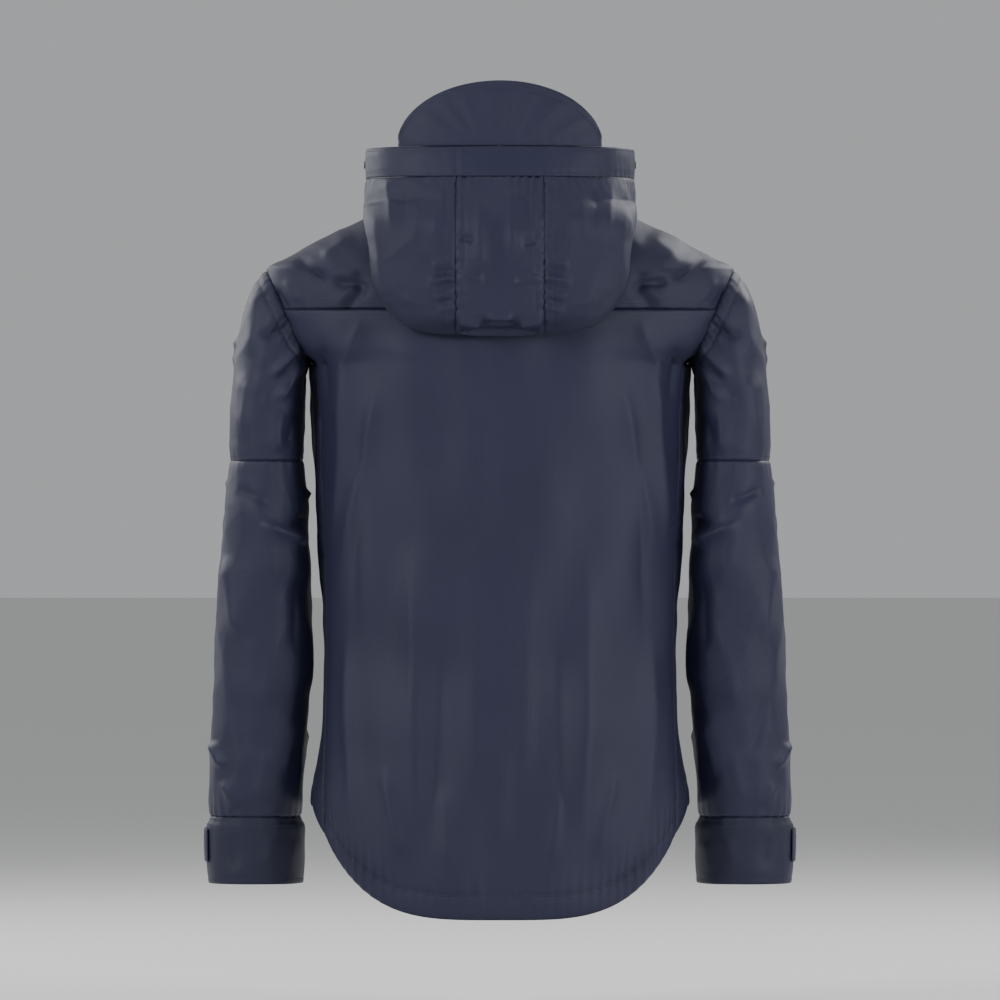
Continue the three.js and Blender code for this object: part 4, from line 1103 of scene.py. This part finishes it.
hoodLook = {
    "puff": 1.5,
    "middleFolds": [  # across the panel, by x and height
        ((-49, 652), (-18, 646), 5, 2.6), ((18, 646), (49, 652), 5, 2.6),
        ((-17, 655), (17, 655), 4, 2.2), ((-17, 648), (17, 648), 3.5, -2.2),
        ((-46, 640), (46, 640), 5, -1.8), ((-46, 700), (-14, 690), 6, 1.6),
        ((46, 704), (16, 694), 6, 1.5), ((-10, 800), (-14, 720), 9, 1.2),
        ((24, 790), (20, 700), 10, 1.2), ((-46, 738), (-22, 733), 5, -1.3),
        ((46, 742), (26, 736), 5, -1.3), ((-30, 790), (-34, 745), 6, -1.0),
    ],
    "sideFolds": [  # beside the middle seam, by distance out and height
        ((46, 716), (76, 710), 3.6, 3.0), ((46, 698), (80, 692), 3.8, 3.2),
        ((46, 683), (74, 676), 3.6, 2.8), ((46, 668), (70, 660), 3.6, 2.2),
        ((47, 707), (72, 702), 3.2, -2.4), ((47, 690), (74, 684), 3.2, -2.6),
        ((47, 675), (70, 668), 3.2, -2.2), ((122, 812), (117, 742), 7, 2.6),
        ((106, 806), (103, 748), 6, -1.6), ((136, 770), (128, 690), 7, 1.8),
        ((60, 800), (74, 736), 9, 1.5), ((84, 748), (128, 712), 8, 1.7), ((70, 664), (108, 676), 7, 1.8),
        ((96, 655), (124, 684), 6, -1.6), ((88, 790), (92, 740), 7, 1.2),
    ],
}


def hoodMiddleRelief(points, away, nearest, u, v):
    x, z = points[..., 0], points[..., 2]
    ends = np.minimum(away["left"], away["right"])
    height = swell(nearest, 1.4, 11, 0.8) + groove(ends, 9.5, 0.7)
    height += foldSum(x, z, hoodLook["middleFolds"], 0.25)
    height += gather(x, away["high"], 10.5, 1.3, 13, 81) + gather(z, ends, 14, 1.0, 8, 82)
    return height + crumple(x, z, 40, 1.6, 83) * smooth(nearest / 14)


def hoodSideRelief(points, away, nearest, u, v):
    x, z = points[..., 0], points[..., 2]
    sewn = np.minimum(np.minimum(away["high"], away["low"]), away["right"])
    height = swell(sewn, hoodLook["puff"], 15, 0.8) + groove(away["right"], 9.5, 0.6)
    for i, (start, end, width, rise) in enumerate(hoodLook["sideFolds"]):
        lean = 1 + 0.2 * np.where(x > 0, np.sin(i * 1.3), np.cos(i * 2.2))
        lying = fold(np.abs(x), z, start, end, width, rise * lean, 0.25)
        height += 0.42 * lying * smooth(points[..., 1] / 40)
    height += gather(x + points[..., 1], away["high"], 13, 0.5, 12, 84)
    height += gather(z, away["right"], 12, 1.2, 9, 85)
    return height + crumple(x + points[..., 1], z, 46, 3.4, 86) * smooth(nearest / 18)


def bandRelief(points, away, nearest, u, v):
    x = points[..., 0] + points[..., 1] * 0.7
    height = swell(nearest, 0.5, 7, 0.5) + groove(away["low"], 5, 0.5) + groove(away["high"], 4, 0.3)
    height += gather(x, away["low"], 12, 0.4, 12, 87) + crumple(x, points[..., 2], 34, 0.9, 88)
    return height - 0.8 * np.exp(-(((np.abs(points[..., 0]) - 47) / 1.6) ** 2)) * (points[..., 1] > 40)


clothPiece(
    "hoodMiddle",
    region(hood, hoodSeamTurn, lambda height: np.pi - hoodSeamTurn(height), level(hoodLow),
           level(bandSeam - 0.3)),
    72, 110, finish["shell"], hoodMiddleRelief,
    (("left", 4), ("right", 4), ("left", 9.5), ("right", 9.5)),
)
settle(pieces["hoodMiddle"], "hood", ["hood_middle_panel"])
hoodSideAt = region(hood, level(0.0), hoodSeamTurn, level(hoodLow), level(bandSeam - 0.3))
for side, isRight in (("left", False), ("right", True)):
    hoodSide = clothPiece(f"hoodSide_{side}", hoodSideAt, 110, 100, finish["shell"], hoodSideRelief,
                          (("right", 4), ("right", 9.5), ("left", 4)), isMirrored=isRight)
    settle(hoodSide, "hood", [f"hood_side_panel_{side}"])
clothPiece(
    "hoodBand", region(hood, level(0.0), level(np.pi), level(bandSeam), level(bandTop)), 220, 18,
    finish["shell"], bandRelief, (("low", 4.5), ("high", 3.5), ("left", 4), ("right", 4)), thickness=2.8,
)
settle(pieces["hoodBand"], "hood", ["hood_band"])


# Peak: a blade that carries the band up to an arched edge, leaning a little as it rises.
def peak(half, height, base):
    def at(u, v):
        x = mix(0.985, -0.985, u) * half
        arch = base + v * height * np.sqrt(1 - (x / half) ** 2)
        foot = hood(turnFor(np.abs(x) / hoodHalf, hoodCut["power"]), bandTop)
        return np.stack([x, foot[..., 1] - hoodCut["peakLean"] * arch, bandTop + arch], -1)

    return at


def peakRelief(points, away, nearest, u, v):
    x, z = points[..., 0], points[..., 2] - bandTop
    height = swell(nearest, 1.2, 8, 0.5) + groove(away["high"], 8, 0.5)
    turn = np.arctan2(z + 30, x)
    height += 0.45 * np.sin(turn * 23 + np.sin(turn * 7)) * smooth(z / 25) * smooth((away["high"] - 4) / 14)
    return height + crumple(x, z, 44, 1.3, 91) + gather(x, away["low"], 15, 0.5, 8, 92)


clothPiece("peakOuter", peak(hoodCut["peakHalf"], hoodCut["peak"], 0.3), 130, 44, finish["shell"],
           peakRelief, (("high", 3), ("high", 8)), thickness=1.0)
settle(pieces["peakOuter"], "hood", ["peak_outer"])
clothPiece("peakStiffener", offset(peak(hoodCut["peakHalf"] - 8, hoodCut["peak"] - 8, 1.2), -1.6), 60, 16,
           finish["plastic"], thickness=0.9)
settle(pieces["peakStiffener"], "hood", ["peak_stiffener"])
clothPiece("peakLining", offset(peak(hoodCut["peakHalf"] - 1, hoodCut["peak"] - 1, 0.6), -3.1), 100, 36,
           finish["lining"], lambda points, away, nearest, u, v: -0.3 * np.exp(-nearest / 3),
           (("high", 6),), thickness=1.0)
settle(pieces["peakLining"], "hood", ["peak_lining"])
hoodLiningAt = offset(
    region(hood, level(0.2), level(np.pi - 0.2), level(hoodLow + 20), level(bandSeam - 4)),
    -liningLook["inset"],
)
clothPiece("hoodLining", hoodLiningAt, 110, 60, finish["lining"], liningRelief, (("high", 4),),
           thickness=1.2)
settle(pieces["hoodLining"], "hood", ["hood_lining"])


def napeFoot(turn):  # as low and as wide as the hood that the nape panel closes
    turn = np.asarray(turn, float)

    def isInside(rise):
        point = body(turn, rise)
        return np.abs(point[..., 0]) < hoodOutline(np.maximum(point[..., 2], hoodLow)) - 18

    return lastTrue(np.full(turn.shape, nape - 6.0), np.full(turn.shape, hoodLow + 18.0), isInside)


clothPiece(
    "napePanel", offset(region(body, level(0.06), level(np.pi - 0.06), napeFoot, level(nape - 0.6)), 10.2),
    110, 60, finish["lining"], rippled(40, 0.3, 93), (("high", 5),), thickness=1.2,
)
settle(pieces["napePanel"], None, ["nape_panel"])
setBend(pieces["napePanel"], lambda places: (nape - 2 - places[:, 2]) / 95)


# Eyelet: a rolled rim, a small circle carried round the hole.
def eyelet(name, sign, node, reach=3.3, rim=1.1):
    around, section = np.meshgrid(np.linspace(0, 2 * np.pi, 41)[:-1], np.linspace(0, 2 * np.pi, 15)[:-1])
    radius = reach + rim * np.cos(section)
    x = sign * (hoodHalf + 0.9 + 0.62 * rim * np.sin(section))
    y = hoodCut["frontY"] + 14 + radius * np.cos(around)
    z = bandSeam + hoodCut["band"] / 2 + radius * np.sin(around)
    points = np.stack([x, y, z], -1)
    rows, columns = points.shape[:2]
    row, column = np.meshgrid(np.arange(rows), np.arange(columns), indexing="ij")
    up, on = (row + 1) % rows, (column + 1) % columns
    faces = np.stack([row * columns + column, row * columns + on, up * columns + on, up * columns + column],
                     -1)
    faces = faces.reshape(-1, 4)
    if sign > 0:
        faces = faces[:, ::-1]
    obj = makeMesh(name, points.reshape(-1, 3), [faces], [np.zeros((len(faces), 4, 2))],
                   [np.zeros(len(faces))],
                   [finish["plastic"]])
    settle(obj, "hood", [node])


eyelet("eyelet_left", 1, "hood_eyelet_left")
eyelet("eyelet_right", -1, "hood_eyelet_right")
print("hood made")

# Sleeves

sleeveCut = {
    "elbow": 500, "cuffSeam": 108, "cuffEdge": 34, "centre": 257, "splay": 13, "half": 50, "elbowHalf": 40,
    "elbowDepth": 70, "wristDepth": 58, "swing": 28, "cuffHalf": 53, "tab": 36,
    "tuck": 3,  # of the sleeve head under the body
}
elbow, cuffSeam, cuffEdge = sleeveCut["elbow"], sleeveCut["cuffSeam"], sleeveCut["cuffEdge"]
forearm = mix(cuffSeam, elbow, 0.45)
sleeveX = profile(
    (cuffEdge, sleeveCut["centre"] + sleeveCut["splay"]),
    (cuffSeam, sleeveCut["centre"] + sleeveCut["splay"]),
    (forearm, sleeveCut["centre"] + 4), (elbow, sleeveCut["centre"]),
)
sleeveY = profile(
    (cuffEdge, 2 - sleeveCut["swing"]), (cuffSeam, 6 - sleeveCut["swing"]), (forearm, -8), (elbow, 2)
)
sleeveHalf = profile(
    (cuffEdge, sleeveCut["cuffHalf"]), (cuffSeam - 14, sleeveCut["cuffHalf"] + 1),
    (cuffSeam, sleeveCut["half"]),
    (forearm, sleeveCut["half"] + 0.5),
    (mix(cuffSeam, elbow, 0.75), mix(sleeveCut["half"], sleeveCut["elbowHalf"], 0.4)),
    (elbow, sleeveCut["elbowHalf"]),
)
sleeveDepth = profile(
    (cuffEdge, sleeveCut["wristDepth"]), (cuffSeam, sleeveCut["wristDepth"]),
    (elbow, sleeveCut["elbowDepth"])
)
armholeOut = np.array([armholeDrop, 0, -(bodyCut["tipHalf"] - bodyCut["chest"])], float)
armholeOut /= np.linalg.norm(armholeOut)
tipRise = mix(yokeLevel, nape, bodyCut["tipShare"])


# Sleeve ring: a rounded box section at each height, turn 0 away from the body.
def sleeveRing(turn, height):
    c, s = rounded(np.cos(turn), power), rounded(np.sin(turn), power)
    x, y = sleeveX(height) + sleeveHalf(height) * c, sleeveY(height) + sleeveDepth(height) * s
    return np.stack([x, y, height + 0 * x], -1)


def armholeEdge(turn):  # turn 0 is the tip of the shoulder, half a turn the armpit
    rise = mix(armpit, tipRise, (1 + np.cos(turn)) / 2)
    behind = np.sin(turn) >= 0
    around = np.where(behind, armholeBehind(rise), -armholeAhead(rise))
    return body(around, rise) - armholeOut * 0.3


# Upper sleeve: each line leaves the armhole square to it and comes down onto the elbow seam, a
# cubic Bezier.
def upperSleeveAt(u, v):
    turn, share = u * 2 * np.pi, (1 - v)[..., None]
    start, end = armholeEdge(turn) - sleeveCut["tuck"] * armholeOut, sleeveRing(turn, elbow - 0.4)
    top = ((1 + np.cos(turn)) / 2)[..., None]
    lead = start + armholeOut * mix(12, 30, top)
    follow = end + np.concatenate([-3 * top, 0 * top, mix(70, 110, top)], -1)
    left = 1 - share
    return left**3 * start + 3 * left**2 * share * lead + 3 * left * share**2 * follow + share**3 * end


def tube(low, high):
    return lambda u, v: sleeveRing(u * 2 * np.pi, mix(low, high, v))


sleeveLook = {
    "upperFolds": [  # by x and height, on the back of the sleeve
        ((214, 634), (252, 588), 6, 3.0), ((216, 618), (244, 560), 6, 2.6),
        ((226, 650), (262, 632), 6, -2.2), ((232, 600), (262, 560), 8, -1.8),
        ((262, 690), (272, 610), 10, 2.0), ((240, 560), (246, 505), 10, 1.8),
        ((270, 600), (282, 520), 11, 1.8), ((222, 560), (234, 512), 7, -1.6),
    ],
    "lowerFolds": [
        ((220, 466), (196, 457), 6, 3.2), ((262, 434), (212, 408), 8, 3.4),
        ((288, 470), (250, 452), 7, -2.4), ((272, 484), (240, 352), 17, 3.0),
        ((214, 440), (232, 424), 6, -2.4), ((300, 400), (286, 300), 12, 2.2),
        ((316, 192), (302, 160), 6, 2.6), ((240, 330), (262, 220), 14, 2.0),
        ((296, 250), (274, 170), 10, -1.8), ((224, 220), (240, 150), 9, 2.0),
        ((254, 190), (266, 122), 10, 1.6), ((222, 380), (226, 280), 9, -1.8),
        ((304, 150), (288, 116), 7, 1.8), ((206, 330), (214, 240), 8, 1.5),
    ],
    "cuffFolds": [((250, 90), (258, 50), 9, 1.0), ((296, 94), (290, 48), 8, -0.9),
                  ((226, 84), (232, 46), 7, 0.8)],
}


def sleeveFolds(points, folds, seed):
    x, y, z = np.abs(points[..., 0]), points[..., 1], points[..., 2]
    behind = smooth((y - sleeveY(z) + 12) / 30)
    ahead = smooth((sleeveY(z) - y + 12) / 30)
    height = 0
    for i, (start, end, width, rise) in enumerate(folds):
        lean = 1 + 0.18 * np.where(points[..., 0] > 0, np.sin(i * 1.1 + seed), np.cos(i * 2.7 + seed))
        back = fold(x, z, start, end, width, rise * lean, 0.28)
        front = fold(2 * sleeveX(z) - x, z - 12, start, end, width * 1.2, rise * 0.8)
        height = height + back * behind + front * ahead
    return height


def upperSleeveRelief(points, away, nearest, u, v):
    turn = u * 2 * np.pi
    height = swell(nearest, 2.2, 16, 1.2) + sleeveFolds(points, sleeveLook["upperFolds"], 1)
    height += gather(turn * 66, away["high"], 11, 1.3, 15, 101) + groove(away["high"], 16, 1.0, 3)
    height -= 2 * np.exp(-((away["high"] / 3.5) ** 2))
    height += gather(turn * 60, away["low"], 19, 0.7, 8, 102) + groove(away["low"], 6, 0.5)
    return height + crumple(turn * 60, points[..., 2], 46, 2.6, 103) * smooth(nearest / 24)


def lowerSleeveRelief(points, away, nearest, u, v):
    turn = u * 2 * np.pi
    height = swell(nearest, 2.4, 16, 1.2) + sleeveFolds(points, sleeveLook["lowerFolds"], 2)
    height += gather(turn * 56, away["low"], 15, 1.0, 16, 104)
    height += gather(turn * 60, away["high"], 17, 1.0, 10, 105)
    height += 1.2 * np.sin(points[..., 2] / 6.4 + np.sin(turn * 2) * 1.6) * smooth(
        (-(points[..., 1] - sleeveY(points[..., 2])) - 10) / 40) * smooth((points[..., 2] - 380) / 60)
    return height + crumple(turn * 56, points[..., 2] * 0.7, 52, 3.0, 106) * smooth(nearest / 26)


def cuffRelief(points, away, nearest, u, v):
    turn = u * 2 * np.pi
    height = swell(nearest, 0.7, 9, 0.6) + groove(away["low"], 6, 0.5) + groove(away["high"], 5, 0.5)
    height += sleeveFolds(points, sleeveLook["cuffFolds"], 3)
    height += gather(turn * 56, away["high"], 17, 0.5, 12, 107)
    return height + ripple(turn * 56, points[..., 2], 45, 0.5, 108)


def tabFace(u, v):
    return sleeveRing(mix(-1.15, 0.42, u), mix(cuffSeam - 14 - sleeveCut["tab"], cuffSeam - 14, v))


def loopPatchFace(u, v):
    return sleeveRing(mix(-1.0, -0.1, u), mix(cuffSeam - 9 - sleeveCut["tab"], cuffSeam - 19, v))


def sleeveBend(places):  # how far out from the armhole's own plane
    across = (np.abs(places[:, 0]) - bodyCut["chest"]) * armholeOut[0]
    out = across + (places[:, 2] - armpit) * armholeOut[2]
    return out / 58


def elbowBend(places):
    return (elbow - places[:, 2]) / 105


def tabRelief(points, away, nearest, u, v):
    return groove(nearest, 4, 0.3) - 0.4 * np.exp(-nearest / 1.5)


def knitRelief(points, away, nearest, u, v):  # ribs that run up the cuff
    return 0.5 * np.sin(u * 2 * np.pi * 64) - 0.4 * np.exp(-away["low"] / 2)


for side, isRight in (("left", False), ("right", True)):
    ringLook = {"isRing": True, "isMirrored": isRight}
    upper = clothPiece(f"upperSleeve_{side}", upperSleeveAt, 150, 96, finish["shell"], upperSleeveRelief,
                       (("high", 3.5), ("low", 5), ("high", 15)), **ringLook)
    settle(upper, None, [f"upper_sleeve_{side}"])
    setBend(upper, sleeveBend)
    upperLining = clothPiece(f"upperSleeveLining_{side}", offset(upperSleeveAt, -liningLook["inset"]),
                             80, 44, finish["lining"],
                             None, thickness=1.2, **ringLook)
    settle(upperLining, None, [f"upper_sleeve_lining_{side}"])
    setBend(upperLining, sleeveBend)
    lower = clothPiece(f"lowerSleeve_{side}", tube(cuffSeam - 0.4, elbow), 140, 150, finish["shell"],
                       lowerSleeveRelief, (("low", 4), ("high", 4)), **ringLook)
    settle(lower, None, [f"lower_sleeve_{side}"])
    setBend(lower, elbowBend)
    lowerLining = clothPiece(f"lowerSleeveLining_{side}",
                             offset(tube(cuffSeam + 24, elbow - 1.2), -liningLook["inset"]), 72, 70,
                             finish["lining"], None, thickness=1.2, **ringLook)
    settle(lowerLining, None, [f"lower_sleeve_lining_{side}"])
    setBend(lowerLining, elbowBend)
    cuff = clothPiece(f"cuffBand_{side}", tube(cuffEdge, cuffSeam), 140, 30, finish["panel"], cuffRelief,
                      (("low", 5), ("high", 4), ("high", 10)), thickness=2.6, **ringLook)
    settle(cuff, f"forearm_{side}", [f"cuff_{side}"])
    storm = clothPiece(f"stormCuff_{side}", offset(tube(cuffEdge + 12, cuffSeam + 22), -11.25), 384, 30,
                       finish["elastic"], knitRelief, thickness=1.2, **ringLook)
    settle(storm, f"forearm_{side}", [f"storm_cuff_{side}"])
    tab = clothPiece(f"cuffTab_{side}", offset(tabFace, 3.4), 60, 22, finish["panel"], tabRelief,
                     (("low", 3), ("high", 3), ("left", 3), ("right", 3)),
                     isMirrored=isRight, thickness=1.5)
    settle(tab, f"tab_{side}", [f"cuff_tab_{side}"])
    loop = clothPiece(f"cuffPatch_{side}", offset(loopPatchFace, 1.2), 46, 20, finish["hookAndLoop"],
                      rippled(5, 0.1, 109, 1), isMirrored=isRight, thickness=0.8)
    settle(loop, f"forearm_{side}", [f"cuff_patch_{side}"])
print("sleeves made")

# Hanger loop: a woven tape carried along a low arch inside the back neck.

loopCut = {"half": 24, "top": 2, "foot": 16, "band": 1.6, "width": 7}


def hangerAt(u, v):
    path = np.array([
        (-loopCut["half"] + 0.1, -loopCut["foot"]), (-loopCut["half"] + 0.1, -5),
        (-loopCut["half"] + 1.4, -1.6), (-loopCut["half"] + 4.4, 0), (0, 0),
    ])
    path = np.concatenate([path, path[-2::-1] * [-1, 1]])
    reach = np.concatenate([[0], np.cumsum(np.hypot(*np.diff(path, axis=0).T))])
    x, z = (np.interp(v * reach[-1], reach, path[:, k]) for k in (0, 1))
    y = loopDepth + loopCut["width"] * (0.5 - u)
    return np.stack([x, y + 0 * x, z + nape + loopCut["top"]], -1)


clothPiece("hangerLoop", hangerAt, 10, 70, finish["tape"],
           lambda points, away, nearest, u, v: 0.06 * np.sin(points[..., 0] * 5) - 0.1 * np.exp(-nearest),
           (("left", 1), ("right", 1)), thickness=1.4)
settle(pieces["hangerLoop"], "torso", ["hanger_loop"])

# Stage

stageLook = {
    "floorDrop": 0.12, "floorReach": 40.0, "floor": (0.74, 0.74, 0.73), "world": (0.8, 0.81, 0.83),
    "worldLight": 0.5, "aim": 456.5, "away": 9.13, "lens": 300,  # the camera's height, distance and lens
    "lights": {  # place, size and watts
        "keyLight": ((2.3, 1.7, 0.9), 0.8, 58), "keyMate": ((-2.3, 1.7, 0.3), 0.8, 50),
        "backFill": ((0, 3.4, -1.0), 1.6, 19), "frontKey": ((-1.9, -2.2, 1.6), 1.0, 62),
        "frontFill": ((2.1, -2.0, 0.8), 1.4, 40), "topLight": ((0, 0.1, 2.6), 1.0, 14),
    },
}
floorLevel = hemLevel / 1000 - stageLook["floorDrop"]
floorMesh = bpy.data.meshes.new("floor")
corners = [(-1, -1), (1, -1), (1, 1), (-1, 1)]
floorReach = stageLook["floorReach"]
floorMesh.from_pydata([(x * floorReach, y * floorReach, floorLevel) for x, y in corners], [],
                      [(0, 1, 2, 3)])
floor = bpy.data.objects.new("floor", floorMesh)
bpy.context.scene.collection.objects.link(floor)
floorPaint = bpy.data.materials.new("floorPaint")
floorPaint.use_nodes = True
floorPaint.node_tree.nodes["Principled BSDF"].inputs["Base Color"].default_value = (*stageLook["floor"], 1)
floorPaint.node_tree.nodes["Principled BSDF"].inputs["Roughness"].default_value = 0.9
floorMesh.materials.append(floorPaint)

world = bpy.data.worlds.new("studio")
bpy.context.scene.world = world
world.use_nodes = True
world.node_tree.nodes["Background"].inputs["Color"].default_value = (*stageLook["world"], 1)
world.node_tree.nodes["Background"].inputs["Strength"].default_value = stageLook["worldLight"]

middle = Vector((0, 0, (stageLook["aim"] + hemLevel) / 1000))
for name, (place, size, watts) in stageLook["lights"].items():
    light = bpy.data.lights.new(name, "AREA")
    light.size, light.energy = size, watts
    lamp = bpy.data.objects.new(name, light)
    lamp.location = place
    lamp.rotation_euler = (middle - Vector(place)).to_track_quat("-Z", "Y").to_euler()
    bpy.context.scene.collection.objects.link(lamp)

cameraData = bpy.data.cameras.new("camera")
cameraData.sensor_width, cameraData.lens = 36, stageLook["lens"]
camera = bpy.data.objects.new("camera", cameraData)
camera.location = (0, stageLook["away"], middle.z)
camera.rotation_euler = (np.pi / 2, 0, np.pi)
bpy.context.scene.collection.objects.link(camera)
bpy.context.scene.camera = camera
print("stage ready")
